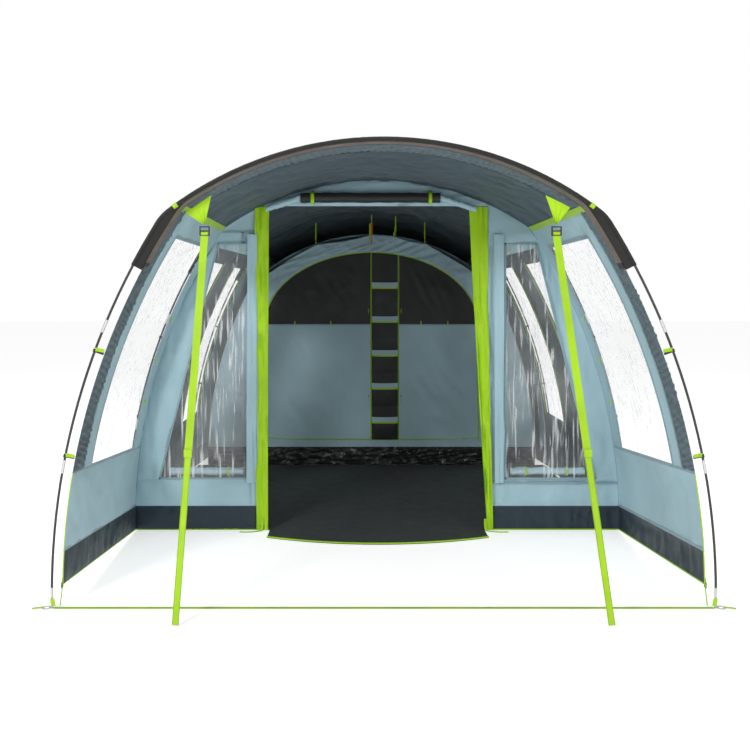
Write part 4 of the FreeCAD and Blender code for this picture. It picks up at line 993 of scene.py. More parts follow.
# -------------------------------------------------------------------------------------- front wall
DOOR_LEFT, DOOR_RIGHT, DOOR_TOP = -0.700, 0.660, 1.930
PANE_INNER, PANE_OUTER_LOW, PANE_OUTER_HIGH = 0.760, 1.300, 0.950
PANE_BASE, PANE_TOP = 0.305, 1.710
SILL_SEAM_Z, HEAD_SEAM_Z = PANE_BASE - 0.022, PANE_TOP + 0.066
HEAD_SEAM_X = 0.930
WALL_INSET = FABRIC + 0.0005
FILM_Y = DOOR + FABRIC + 0.0012
CURTAIN_INNER, CURTAIN_OUTER = 0.80, 1.24
TRIM_FOOT, TRIM_TOP = 0.006, 1.925
TRIMS = {                                   # left and right edge at the foot and at the top
    "left": ((-0.715, -0.648), (-0.727, -0.642)),
    "right": ((0.652, 0.688), (0.545, 0.655)),
}
ROLL_DARK = (-0.452, 0.369)                 # ends of the rolled door's dark and light cloth
ROLL_LIGHT = (-0.655, 0.580)


def pane_edge(z):
    """The window's slanting outer edge."""
    share = (z - PANE_BASE) / (PANE_TOP - PANE_BASE)
    return PANE_OUTER_LOW + (PANE_OUTER_HIGH - PANE_OUTER_LOW) * share


def wall_top(x):
    return FLY.height(x) - 0.003


def wall_edge(z):
    return FLY.half_width(z, WALL_INSET + 0.001)


def add_front_wall():
    """The wall with the doorway: light panels, felled seams, skirts, windows and curtains."""
    fold = sizes().crease
    y = DOOR + 0.5 * FABRIC
    wall = Piece()
    skirts, films, curtains = Piece(), Piece(), Piece()
    for side, door in ((-1, DOOR_LEFT), (1, DOOR_RIGHT)):
        seed = 40.0 + side
        soft = crumpled(0.22, fold, seed)
        tall = together(soft, drawn(0.05, 0.05, 0.8, 0.8 * fold, seed + 1))
        level = on_half_wall(side, y)
        inner = abs(door)
        wall.cloth(level, (SKIRT_Z + 0.0005, PANE_TOP), (inner, PANE_INNER), "wall", 0.015,
                   swapped(drawn(0.0, 0.03, 0.9, 1.3 * fold, seed + 2)), pinned=0.015)
        wall.cloth(level, (SKIRT_Z + 0.0005, PANE_BASE), (PANE_INNER, wall_edge), "wall", 0.02,
                   swapped(together(soft, drawn(0.3, 0.06, 0.5, fold, seed + 3))), pinned=0.03)
        wall.cloth(level, (PANE_BASE, PANE_TOP), (pane_edge, wall_edge), "wall", 0.02,
                   swapped(tall), pinned=0.03)
        wall.cloth(on_wall(y), (side * inner, side * wall_edge(PANE_TOP)),
                   (PANE_TOP, wall_top), "wall", 0.02, soft, pinned=0.03)
        flat = on_wall(y)
        s = side
        stile_x = s * (PANE_INNER + 0.04)
        wall.seam(flat, (s * inner, SILL_SEAM_Z), (s * wall_edge(SILL_SEAM_Z), SILL_SEAM_Z))
        wall.seam(flat, (s * inner, HEAD_SEAM_Z), (s * HEAD_SEAM_X, HEAD_SEAM_Z))
        wall.seam(flat, (stile_x, PANE_TOP), (stile_x, HEAD_SEAM_Z))
        corners = [(s * PANE_INNER, PANE_BASE), (s * PANE_OUTER_LOW, PANE_BASE),
                   (s * PANE_OUTER_HIGH, PANE_TOP), (s * PANE_INNER, PANE_TOP)]
        wall.seams_round(flat, corners, "seam", 0.018)
        pleat_x = (inner + PANE_INNER) * 0.5 + 0.012

        def pleat(x, z, s=s, pleat_x=pleat_x):
            lean = 0.03 * (1.0 - z / PANE_TOP)
            return Vector((s * (pleat_x + lean * 0.2 + s * (x - 0.5) * 0.055),
                           y - 0.008 - 0.006 * math.cos(2.0 * (x - 0.5)), z))
        wall.cloth(pleat, (0.0, 1.0), (PANE_BASE - 0.02, PANE_TOP + 0.05), "wall", (0.14, 0.02),
                   drawn(0.0, 0.4, 0.9, 0.9 * fold, seed + 9), pinned=0.0)

        skirts.cloth(level, (0.004, SKIRT_Z), (inner, wall_edge), "skirt", 0.016,
                     swapped(together(crumpled(0.1, fold, seed + 4),
                                      drawn(0.2, 0.04, 0.3, 0.8 * fold, seed + 5))),
                     pinned=0.025)
        skirts.seam(flat, (s * inner, SKIRT_Z - 0.004), (s * wall_edge(SKIRT_Z), SKIRT_Z - 0.004),
                    "roof_seam", 0.01)
        skirts.piping(surface_path(flat, (s * inner, 0.006), (s * wall_edge(0.01), 0.006)),
                      "lime_cord", 0.0038)
        films.cloth(on_half_wall(side, FILM_Y), (PANE_BASE - 0.01, PANE_TOP + 0.01),
                    (PANE_INNER - 0.01, lambda z: pane_edge(z) + 0.01), "film", 0.03,
                    crumpled(0.3, 0.0012, seed + 6), FILM, pinned=0.1)
        add_curtain(curtains, side, seed + 7)
    arch = on_wall(y)
    wall.cloth(arch, (DOOR_LEFT, DOOR_RIGHT), (DOOR_TOP, wall_top), "wall", 0.016,
               together(crumpled(0.12, fold, 44.0), drawn(1.1, 0.04, 0.3, fold, 45.0)),
               pinned=0.02)
    wall.make("front_wall_cloth", slot="wall_blue", replaces=["front_wall"], held="stretched",
              rests_on=["door_pole"])
    skirts.make("front_skirt_cloth", slot="skirt_slate", replaces=["front_skirts"], held="hung",
                rests_on=["front_wall_cloth"])
    films.make("front_window_film", slot="clear_film", replaces=["front_windows"],
               held="stretched", rests_on=["front_wall_cloth"])
    curtains.make("window_curtain_rolls", slot="wall_blue", replaces=["window_curtains"],
                  held="folded", rests_on=["front_wall_cloth"])


def spiral(centre, outer, inner, turns, crush=1.0, lobe=0.0, seed=0.0, held_x=None):
    """place(x, v) on a rolled cloth that lies along X; v runs along the cloth from outside in.

    Beyond held_x the roll isn't tied, and its end sags.
    """
    mean = 0.5 * (outer + inner)
    length = 2 * math.pi * mean * turns

    def place(x, v):
        share = v / length
        angle = 2 * math.pi * turns * share + 0.4
        radius = outer + (inner - outer) * share
        radius *= 1.0 + lobe * rough(x / 0.06, 1.5 * math.cos(angle), seed)
        drift = 0.004 * rough(x / 0.13, 3.0, seed)
        if held_x is not None:
            drift -= 0.32 * abs(x - held_x)
        return Vector((x, centre[0] + radius * math.cos(angle),
                       centre[1] + drift + crush * radius * math.sin(angle)))
    return place, length


def add_curtain(piece, side, seed):
    """A window curtain rolled up along the window's foot, with two lime toggles."""
    low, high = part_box("window_curtains")
    y = 0.5 * (low.y + high.y)
    z = 0.5 * (low.z + high.z)
    inner, outer = CURTAIN_INNER, CURTAIN_OUTER
    place, length = spiral((y, z), 0.023, 0.010, 2.4, 1.0, 0.3, seed)
    ends = (inner, outer) if side > 0 else (-outer, -inner)
    piece.cloth(place, ends, (0.0, length), "wall", (0.012, 0.012),
                gathered(0.05, 0.0012, seed, 0.8), pinned=0.0)
    for x in (inner + 0.09, outer - 0.11):
        piece.loop((y, z), 0.0262, side * x - 0.006, side * x + 0.006, "lime_tape", 0.001)
        add_toggle(piece, (side * x, y - 0.0296, z), (0.3, 0.0, 1.0), 0.026, radius=0.0035)
    valance_y = DOOR + 0.014

    def valance(u, v):
        return Vector((side * u, valance_y + 0.006 * math.sin(u / 0.009), v))
    piece.cloth(valance, (PANE_INNER + 0.005, PANE_OUTER_HIGH - 0.01),
                (lambda u: PANE_TOP - 0.075 + 0.25 * (u - PANE_INNER), PANE_TOP), "wall",
                (0.004, 0.012), crumpled(0.05, 0.002, seed + 1), pinned=0.0)
    add_toggle(piece, (side * (PANE_INNER + 0.03), DOOR + 0.004 + 0.0015 + FILM,
                       PANE_TOP - 0.045), (1.0, 0.0, 0.35), 0.05, radius=0.003)


def add_doorway():
    """The lime trims beside the doorway and the door rolled up above it."""
    fold = sizes().crease
    trims = Piece()
    y = box_middle_y("door_trims")
    for name, (foot, top) in TRIMS.items():
        seed = 50.0 + len(name)

        def strip(u, z, foot=foot, top=top):
            share = (z - TRIM_FOOT) / (TRIM_TOP - TRIM_FOOT)
            bow = 0.010 * math.sin(math.pi * share)
            left = foot[0] + (top[0] - foot[0]) * share - bow * 0.4
            right = foot[1] + (top[1] - foot[1]) * share - bow * 0.4
            return Vector((left + (right - left) * u, y, z))
        twist = together(drawn(0.12, 0.22, 0.6, 1.1 * fold, seed),
                         lambda u, z: 0.004 * math.cos(2 * math.pi * u + 2.2 * z),
                         crumpled(0.12, 0.5 * fold, seed + 1))
        trims.cloth(strip, (0.0, 1.0), (TRIM_FOOT, TRIM_TOP), "lime_cloth", (0.1, 0.014), twist,
                    0.0022, pinned=0.0)
    trims.make("door_trim_cloth", slot="lime_webbing", replaces=["door_trims"], held="hung",
               rests_on=["front_wall_cloth"])

    low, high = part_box("rolled_door")
    centre = (0.5 * (low.y + high.y), 0.5 * (low.z + high.z))
    radius = 0.5 * (high.z - low.z)
    roll = Piece()
    place, length = spiral(centre, radius - 0.001, 0.012, 3.0, 0.92, 0.05, 55.0)
    roll.cloth(place, (ROLL_DARK[0], ROLL_DARK[1]), (0.0, length), "night", (0.014, 0.012),
               gathered(0.11, 0.0012, 56.0, 0.5), pinned=0.0)
    for ends, seed in (((ROLL_LIGHT[0], ROLL_DARK[0] - 0.001), 57.0),
                       ((ROLL_DARK[1] + 0.001, ROLL_LIGHT[1]), 58.0)):
        inner_end = min(ends, key=abs)
        place, length = spiral(centre, radius - 0.009, 0.008, 2.0, 0.8, 0.3, seed, inner_end)
        roll.cloth(place, ends, (0.0, length), "wall", (0.009, 0.012),
                   together(gathered(0.045, 0.0022, seed, 1.2), crumpled(0.05, 0.002, seed)),
                   pinned=0.0)
    roll.make("rolled_door_cloth", slot="door_dark", replaces=["rolled_door"], held="folded",
              rests_on=["door_ties_webbing"])

    ties = Piece()
    low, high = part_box("door_ties")
    for x in (low.x + 0.01, high.x - 0.01):
        ties.loop(centre, radius + 0.0012, x - 0.010, x + 0.010, "lime_tape", 0.0012)
        up = [Vector((x, centre[0] + 0.006, centre[1] + radius + 0.001)),
              Vector((x, DOOR - 0.002, centre[1] + radius + 0.018))]
        ties.tape(up, (1, 0, 0), 0.02, thick=0.0012)
    ties.make("door_ties_webbing", slot="lime_webbing", replaces=["door_ties"], held="folded",
              rests_on=["rolled_door_cloth"])
    for name in ("door_toggle_left", "door_toggle_right"):
        low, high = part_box(name)
        toggle = Piece()
        x = 0.5 * (low.x + high.x)
        add_toggle(toggle, (x, low.y + 0.005, 0.5 * (low.z + high.z)), (0, 0, 1),
                   high.z - low.z, radius=0.005)
        toggle.piping([(x, low.y + 0.005, centre[1]), (x, high.y, centre[1])], "lime_plastic",
                      0.0025, 8)
        toggle.make(name + "_bar", name, "lime_plastic", [name])


# ------------------------------------------------------------------------------------- living room
LIVING_PANES = ((DOOR + 0.15, DOOR + 0.68), (DOOR + 1.16, DOOR + 1.72))
LIVING_PANE_BASE, LIVING_PANE_TOP = 0.45, 1.62


def add_living_room():
    """Roof, side walls and windows between the second and third arches."""
    fold = sizes().crease
    roof = Piece()
    place = on_section(FLY)

    def sag(d, y):
        share = (y - LIVING_START) / (LIVING_END - LIVING_START)
        return -0.012 * math.sin(math.pi * share) * math.cos(0.5 * math.pi * d / SEAM_D)
    roof.cloth(place, (-SEAM_D, SEAM_D), (LIVING_START, LIVING_END), "roof", 0.03,
               together(sag, crumpled(0.3, 1.3 * fold, 60.0), drawn(0.3, 0.1, 0.9, fold, 61.0)))
    for d in (-0.5, 0.5):
        roof.seam(place, (d, LIVING_START), (d, LIVING_END), "roof_seam")
    roof.make("living_roof_cloth", slot="roof_slate", replaces=["living_roof"], held="stretched",
              rests_on=["door_pole", "middle_pole"])

    sides, films = Piece(), Piece()
    (a, b), (c, d) = LIVING_PANES
    for side in (-1, 1):
        place = on_side(side)
        seed = 64.0 + side
        soft = together(crumpled(0.2, fold, seed), drawn(0.1, 0.09, 0.8, 0.8 * fold, seed + 1))
        base = SKIRT_Z + 0.0005
        sides.cloth(place, (LIVING_START, LIVING_END), (base, LIVING_PANE_BASE), "roof", 0.03,
                    soft)
        sides.cloth(place, (LIVING_START, LIVING_END), (LIVING_PANE_TOP, SEAM_Z), "roof", 0.03,
                    soft)
        for y0, y1 in ((LIVING_START, a), (b, c), (d, LIVING_END)):
            sides.cloth(place, (y0, y1), (LIVING_PANE_BASE, LIVING_PANE_TOP), "roof", 0.025, soft)
        for y0, y1 in LIVING_PANES:
            films.cloth(on_side(side, FABRIC + 0.0007), (y0 - 0.01, y1 + 0.01),
                        (LIVING_PANE_BASE - 0.01, LIVING_PANE_TOP + 0.01), "film", 0.04,
                        crumpled(0.3, 0.001, seed + 3), FILM, pinned=0.1)
            corners = [(y0, LIVING_PANE_BASE), (y1, LIVING_PANE_BASE), (y1, LIVING_PANE_TOP),
                       (y0, LIVING_PANE_TOP)]
            sides.seams_round(place, corners, "roof_seam", 0.022)
            inside = on_side(side, 0.006)
            for y in (y0 - 0.014, y1 + 0.014):
                sides.piping(surface_path(inside, (y, LIVING_PANE_BASE), (y, LIVING_PANE_TOP)),
                             "lime_cord", 0.005)
    sides.make("living_side_cloth", slot="roof_slate", replaces=["living_sides"], held="stretched",
               rests_on=["door_pole", "middle_pole"])
    films.make("living_window_film", slot="clear_film", replaces=["living_windows"],
               held="stretched", rests_on=["living_side_cloth"])


def add_groundsheet():
    """The groundsheet with its curved front edge and lime piping."""
    low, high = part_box("groundsheet")
    half = high.x
    apron = 0.640
    piece = Piece()
    side_y = FRONT + 1.050
    front_y = low.y
    bow = side_y - front_y
    radius = (apron * apron + bow * bow) / (2 * bow)
    z = 0.00075

    def sheet_edge(x):
        return front_y + radius - math.sqrt(radius * radius - x * x)

    def place(x, y):
        return Vector((x, y, z))

    def wrinkle(x, y):
        return max(0.0, crumpled(0.3, 0.0022, 70.0)(x, y)) + 0.0002
    piece.cloth(place, (-apron, apron), (sheet_edge, DOOR + 0.006), "ground", 0.025, wrinkle,
                0.0015)
    piece.cloth(place, (-half, half), (DOOR + 0.006, INNER_Y - 0.001), "ground", 0.035, wrinkle,
                0.0015)
    piece.make("groundsheet_cloth", slot="groundsheet", replaces=["groundsheet"], held="laid")

    edge = Piece()
    steps = 44
    path = []
    for k in range(steps + 1):
        x = apron * (2.0 * k / steps - 1.0)
        path.append(Vector((x, sheet_edge(x * 0.992) + 0.005, 0.0062)))
    edge.piping(path, "lime_cord", 0.0042, 8)
    edge.tape([p + Vector((0, 0.011, -0.0036)) for p in path], (0, 1, 0), 0.018, thick=0.001)
    edge.make("sill_piping_cord", slot="lime_webbing", replaces=["sill_piping"])


# -------------------------------------------------------------------------------- rear of the tent
REAR_SEAM_H = 1.450             # up the leaning rear wall


def add_bedroom_fly():
    """The outer cloth over the bedroom, the rear wall and the dark skirts."""
    fold = sizes().crease
    span = REAR - BEDROOM_START
    rear_seam = REAR_FLY.along(SEAM_SHARE)
    roof = Piece()
    place = between(FLY, (0.0, SEAM_D), REAR_FLY, (0.0, rear_seam), BEDROOM_START, 0.0)
    roof.cloth(over_crown(place, SEAM_D, span), (-SEAM_D, SEAM_D), (0.0, span), "roof", 0.035,
               together(crumpled(0.3, 1.4 * fold, 80.0), drawn(0.3, 0.12, 0.9, fold, 81.0)))
    roof.make("bedroom_roof_cloth", slot="roof_slate", replaces=["bedroom_roof"], held="stretched",
              rests_on=["middle_pole", "rear_pole"])

    sides, skirts = Piece(), Piece()
    base = SKIRT_Z + 0.0005
    rows = ((sides, SEAM_D, FLY.drop(base), rear_seam, REAR_FLY.drop(rear_height(base)), "wall"),
            (skirts, FLY.drop(SKIRT_Z), FLY.drop(0.003), REAR_FLY.drop(rear_height(SKIRT_Z)),
             REAR_FLY.drop(rear_height(0.003)), "skirt"))
    for piece, d0, d1, e0, e1, finish in rows:
        tall = d1 - d0
        wall = between(FLY, (d0, d1), REAR_FLY, (e0, e1), BEDROOM_START, 0.0)
        for side in (-1, 1):
            side_place = down_side(wall, side, tall, span)
            seed = 84.0 + side
            soft = together(crumpled(0.25, 1.2 * fold, seed),
                            drawn(0.5, 0.1, 0.9, fold, seed + 1))
            piece.cloth(side_place, (0.0, tall), (0.0, span), finish, 0.03, soft)
            if finish == "skirt":
                foot = [side_place(tall, span * k / 40.0) for k in range(41)]
                piece.piping(foot)
    sides.make("bedroom_side_cloth", slot="wall_blue", replaces=["bedroom_sides"],
               held="stretched", rests_on=["middle_pole", "rear_pole"])
    for side in (-1, 1):
        strip = on_side(side)
        skirts.cloth(strip, (LIVING_START, LIVING_END), (0.004, SKIRT_Z), "skirt", 0.02,
                     crumpled(0.12, fold, 88.0 + side), pinned=0.03)
        skirts.piping(surface_path(strip, (LIVING_START, 0.006), (LIVING_END, 0.006)))

    rear = Piece()

    def rear_place(x, z):
        return leaned(x, z, 0.0005 + 0.5 * FABRIC)

    def rear_rows(z, x):
        return rear_place(x, z)

    def rear_right(z):
        return REAR_FLY.half_width(z, 0.002)

    def rear_left(z):
        return -rear_right(z)
    foot, head = rear_height(base), REAR_SEAM_H
    edge, shoulder = rear_right(foot), rear_right(head)
    rear.cloth(rear_rows, (foot, head), (rear_left, rear_right), "wall", 0.035,
               together(crumpled(0.25, 1.2 * fold, 90.0),
                        swapped(drawn(0.4, 0.1, 0.9, fold, 91.0))))
    rear.cloth(rear_place, (-shoulder, shoulder), (head, lambda x: REAR_FLY.height(x) - 0.002),
               "wall", 0.03, crumpled(0.2, fold, 92.0))
    rear.seam(rear_place, (-shoulder, head), (shoulder, head), "seam", 0.016)
    rear.seam(rear_place, (-edge, foot + 0.008), (edge, foot + 0.008), "seam", 0.014)
    skirts.cloth(rear_rows, (rear_height(0.003), rear_height(SKIRT_Z)), (rear_left, rear_right),
                 "skirt", 0.02, crumpled(0.12, fold, 93.0), pinned=0.03)
    rear.make("rear_wall_cloth", slot="wall_blue", replaces=["rear_wall"], held="stretched",
              rests_on=["rear_pole"])
    skirts.make("side_skirt_cloth", slot="skirt_slate", replaces=["side_skirts"], held="hung",
                rests_on=["bedroom_side_cloth"])


# ---------------------------------------------------------------------------------- inner bedroom
DOOR_HALF = 0.878
ARCH_Z, ARCH_RISE = 1.160, 0.598
LEAF_BASE = 0.217
LEAF_CALM = 0.23            # the leaf lies flat towards its zips
STRIP_LEFT, STRIP_RIGHT = 0.0, 0.220
POCKET_TOPS = (1.512, 1.232, 0.953, 0.680, 0.400)
POCKET_HEIGHT = 0.190
HANGERS = (-0.460, 0.0, 0.200, 0.440)


def arch_height(x, grow=0.0):
    """Top of the bedroom's doorway above x."""
    share = min(1.0, abs(x) / (DOOR_HALF + grow))
    return ARCH_Z + (ARCH_RISE + grow) * math.sqrt(1.0 - share * share)


def inner_top(x):
    """Top edge of the bedroom's front, which dips a little between its hangers."""
    dip = 0.0
    for a, b in zip((-1.1,) + HANGERS, HANGERS + (1.1,)):
        if a < x < b and b - a > 0.21:
            share = (x - a) / (b - a)
            dip = 0.035 * 4.0 * share * (1.0 - share) * min(1.0, (b - a) / 0.5)
    return INNER.height(x) - 0.002 - dip


def inner_edge(z):
    return INNER.half_width(z, 0.002)


def add_bedroom_shell():
    """The bedroom's roof, walls and tub floor."""
    fold = sizes().crease
    back = -0.070
    span = REAR + back - INNER_START
    seam, rear_seam = INNER.along(SEAM_SHARE), REAR_INNER.along(SEAM_SHARE)
    roof, walls, tub = Piece(), Piece(), Piece()
    place = between(INNER, (0.0, seam), REAR_INNER, (0.0, rear_seam), INNER_START, back)
    roof.cloth(over_crown(place, seam, span), (-seam, seam), (0.0, span), "wall", 0.05,
               crumpled(0.3, 2 * fold, 100.0))
    roof.make("inner_roof_cloth", slot="inner_blue", replaces=["inner_roof"], held="hung",
              rests_on=["inner_hangers_webbing"])
    rows = ((walls, seam, INNER.drop(TUB_Z), rear_seam, REAR_INNER.drop(rear_height(TUB_Z, back)),
             "wall"),
            (tub, INNER.drop(TUB_Z - 0.001), INNER.drop(0.006),
             REAR_INNER.drop(rear_height(TUB_Z - 0.001, back)),
             REAR_INNER.drop(rear_height(0.006, back)), "tub"))
    for piece, d0, d1, e0, e1, finish in rows:
        tall = d1 - d0
        wall = between(INNER, (d0, d1), REAR_INNER, (e0, e1), INNER_START, back)
        for side in (-1, 1):
            side_place = down_side(wall, side, tall, span)
            piece.cloth(side_place, (0.0, tall), (0.0, span), finish, 0.045,
                        crumpled(0.25, 1.5 * fold, 104.0 + side))

    def rear_place(z, x):
        return leaned(x, z, back + 0.001)

    def rear_low(z):
        return -REAR_INNER.half_width(z, 0.002)

    def rear_high(z):
        return REAR_INNER.half_width(z, 0.002)
    walls.cloth(rear_place, (rear_height(TUB_Z, back), 1.62), (rear_low, rear_high), "wall", 0.05,
                crumpled(0.3, 1.5 * fold, 107.0))
    tub.cloth(rear_place, (rear_height(0.006, back), rear_height(TUB_Z, back) - 0.001),
              (rear_low, rear_high), "tub", 0.03, crumpled(0.1, fold, 108.0), pinned=0.02)
    walls.make("inner_wall_cloth", slot="inner_blue", replaces=["inner_walls"], held="hung",
               rests_on=["inner_roof_cloth"])

    half = INNER.half_width(0.01) - 0.003
    rear_half = REAR_INNER.half_width(0.01) - 0.003

    def floor_place(y, x):
        share = (y - INNER_Y) / (REAR + back - INNER_Y)
        return Vector((x * (half + (rear_half - half) * share), y, 0.00325))
    tub.cloth(floor_place, (INNER_Y + 0.004, REAR + back - 0.006), (-1.0, 1.0), "tub",
              (0.05, 0.04), None, 0.0014)

    def lip(x, z):
        return Vector((x, INNER_Y + 0.0006, z))
    tub.cloth(lip, (-half, half), (0.001, TUB_Z - 0.001), "tub", 0.012,
              together(crumpled(0.07, 1.6 * fold, 109.0), drawn(1.45, 0.03, 0.3, 1.6 * fold, 110.0)),
              pinned=0.012)
    tub.make("inner_tub_cloth", slot="groundsheet", replaces=["inner_tub"], held="laid")


def add_bedroom_front():
    """The bedroom's front: wrinkled surround, two zipped doors, organiser and hangers."""
    fold = sizes().crease
    y = INNER_Y + 0.5 * FABRIC
    front = Piece()
    flat = on_wall(y)
    hole = DOOR_HALF + 0.002
    ring = together(crumpled(0.1, 1.3 * fold, 112.0), drawn(1.2, 0.05, 0.4, 1.2 * fold, 113.0))
    front.cloth(flat, (-hole, hole), (lambda x: arch_height(x, 0.002), inner_top), "wall", 0.014,
                ring, pinned=0.02)
    corner = INNER.height(hole)
    for side in (-1, 1):
        half = on_half_wall(side, y)
        front.cloth(half, (TUB_Z, ARCH_Z), (hole, inner_edge), "wall", 0.03,
                    crumpled(0.15, fold, 114.0 + side), pinned=0.03)
        front.cloth(half, (ARCH_Z, corner - 0.003), (hole, inner_edge), "wall", 0.03,
                    crumpled(0.15, fold, 116.0 + side), pinned=0.03)
    front.cloth(flat, (-hole, hole), (TUB_Z, LEAF_BASE - 0.0025), "wall", 0.015,
                crumpled(0.08, 0.15 * fold, 118.0), pinned=0.02)
    middle = (STRIP_LEFT + 0.001, STRIP_RIGHT - 0.001)
    front.cloth(flat, middle, (LEAF_BASE - 0.0025, lambda x: arch_height(x, 0.002)), "night", 0.02)
    edge = [Vector((-hole, y - 0.003, LEAF_BASE + 0.01 * k)) for k in range(0, 93, 6)]
    for k in range(41):
        angle = math.pi * (1.0 - k / 40.0)
        edge.append(Vector((hole * math.cos(angle), y - 0.003,
                            ARCH_Z + (ARCH_RISE + 0.002) * math.sin(angle))))
    edge += [Vector((hole, y - 0.003, LEAF_BASE + 0.01 * k)) for k in range(90, -1, -6)]
    front.piping(edge, "lime_cord", 0.0052, 8)
    sill = []
    for k in range(41):
        x = hole * (k / 20.0 - 1.0)
        sill.append(Vector((x, y - 0.0008, LEAF_BASE - 0.008 + 0.03 * (abs(x) / hole) ** 6)))
    front.piping(sill, "lime_cord", 0.0044, 8)
    for x in (STRIP_LEFT, STRIP_RIGHT):
        front.piping(surface_path(on_wall(y - 0.0025), (x, LEAF_BASE), (x, arch_height(x))),
                     "lime_cord", 0.0024)
    front.make("inner_front_cloth", slot="inner_blue", replaces=["inner_front"], held="hung",
               rests_on=["inner_hangers_webbing"])

    for side, name in ((-1, "left"), (1, "right")):
        leaf = Piece()
        seed = 120.0 + side
        x0, x1 = (-DOOR_HALF, STRIP_LEFT - 0.006) if side < 0 else (STRIP_RIGHT + 0.006, DOOR_HALF)
        sheet = on_wall(LEAF_Y + 0.5 * FABRIC)
        pull = together(drawn(-0.55, 0.12, 0.8, 1.2 * fold, seed), crumpled(0.3, fold, seed + 1))
        leaf.cloth(sheet, (x0, x1), (LEAF_BASE, ARCH_Z), "wall", 0.02, pull, pinned=LEAF_CALM)
        top = together(drawn(-0.6, 0.08, 0.6, 0.8 * fold, seed + 2),
                       crumpled(0.2, 0.6 * fold, seed + 3))
        leaf.cloth(sheet, (x0, x1), (ARCH_Z, lambda x: max(ARCH_Z + 0.012, arch_height(x) - 0.004)),
                   "night", 0.02, top, pinned=LEAF_CALM)
        leaf.seam(sheet, (x0, ARCH_Z), (x1, ARCH_Z), "seam", 0.010)
        zip_x = x1 if side < 0 else x0
        zip_edge = surface_path(on_wall(LEAF_Y - 0.0012), (zip_x, LEAF_BASE),
                                (zip_x, arch_height(zip_x) - 0.012))
        leaf.piping(zip_edge, "lime_cord", 0.0022)
        for share in (0.28, 0.62):
            x = x0 + (x1 - x0) * share
            leaf.tape([Vector((x, LEAF_Y - 0.003, ARCH_Z + 0.03)),
                       Vector((x, LEAF_Y - 0.0055, ARCH_Z + 0.005)),
                       Vector((x, LEAF_Y - 0.003, ARCH_Z - 0.012))], (1, 0, 0), 0.008, step=0.01)
        node = "inner_door_" + name
        leaf.make(node + "_cloth", node, "inner_blue", [node], held="hung",
                  rests_on=["inner_front_cloth"])
        for level in ("upper", "lower"):
            add_slider(level + "_slider_" + name)
    add_organiser()
    add_hangers()


def add_slider(name):
    """A zip slider: an arched body over the teeth with a looped cord pull."""
    low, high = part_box(name)
    x, y = 0.5 * (low.x + high.x), high.y
    top = high.z
    piece = Piece()
    body = [(x, y - 0.0026, top - 0.016), (x, y - 0.0026, top - 0.011), (x, y - 0.0026, top - 0.004),
            (x, y - 0.0026, top)]
    piece.piping(body, "black_plastic", [0.0018, 0.0026, 0.0026, 0.0016], 10)
    pull = [(x, y - 0.0036, top - 0.012), (x - 0.0022, y - 0.0034, top - 0.022),
            (x - 0.0026, y - 0.003, top - 0.045), (x, y - 0.003, top - 0.058),
            (x + 0.0026, y - 0.003, top - 0.045), (x + 0.0022, y - 0.0034, top - 0.022),
            (x, y - 0.0036, top - 0.012)]
    piece.piping(pull, "lime_plastic", 0.0011, 6)
    piece.make(name + "_pull", name, "lime_plastic", [name])


def add_organiser():
    """A dark hanging strip of five pockets with light, lime-edged tops."""
    piece = Piece()
    low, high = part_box("organiser")
    back_y = high.y - 0.5 * FABRIC
    x0, x1 = low.x + 0.001, high.x - 0.001
    piece.cloth(on_wall(back_y), (x0, x1), (low.z, high.z), "night", 0.02)
    for k, top in enumerate(POCKET_TOPS):
        foot = top - POCKET_HEIGHT

        def pocket(x, z, top=top, foot=foot):
            share = (z - foot) / (top - foot)
            bag = 0.011 * math.sin(math.pi * min(1.0, 0.12 + 0.62 * share))
            side = math.sin(math.pi * (x - x0) / (x1 - x0)) ** 0.35
            return Vector((x, back_y - 0.0016 - bag * side, z - 0.004 * side * share))
        creases = together(crumpled(0.06, 0.0022, 130.0 + k),
                           drawn(0.5, 0.03, 0.2, 0.0014, 131.0 + k))
        piece.cloth(pocket, (x0, x1), (foot, top - 0.052), "night", 0.01, creases, pinned=0.02)
        piece.cloth(pocket, (x0, x1), (top - 0.042, top), "wall", 0.009,
                    gathered(0.03, 0.0012, 132.0 + k, 0.9), pinned=0.012)
        piece.cloth(pocket, (x0, x1), (top - 0.053, top - 0.040), "lime_tape", 0.006, None, 0.0022)
    piece.make("organiser_cloth", slot="inner_dark", replaces=["organiser"], held="hung",
               rests_on=["inner_front_cloth"])


def add_hangers():
    """Ties from the roof to the bedroom's front, a cord lock and a spare ribbon."""
    piece = Piece()
    y = INNER_Y + 0.0008
    for x in HANGERS:
        high, low = FLY.height(x) - 0.018, INNER.height(x) + 0.002
        piece.tape([(x, y, high), (x, y, low)], (1, 0, 0), 0.009, "lime_tape", 0.0012)
        add_toggle(piece, (x, y - 0.003, low + 0.02), (0, 0, 1), 0.018, "black_plastic", 0.004)
    low = INNER.height(0.0)
    ribbons = (("lime_tape", -0.012, 0.15), ("red_tape", 0.004, 0.17))
    for finish, x, length in ribbons:
        path = [Vector((x, y - 0.006 - 0.004 * math.sin(3.0 * k), low + 0.09 - length * k / 5.0))
                for k in range(6)]
        piece.tape(path, (1, 0.25, 0), 0.014, finish, 0.001)
    hook = [Vector((0.19 + 0.006 * math.sin(1.3 * k), y - 0.008, low + 0.06 - 0.018 * k))
            for k in range(10)]
    piece.piping(hook, "lime_plastic", [0.004 + 0.003 * (k == 3) for k in range(10)], 8)
    piece.make("inner_hangers_webbing", slot="lime_webbing", replaces=["inner_hangers"],
               held="hung", rests_on=["living_roof_cloth"])


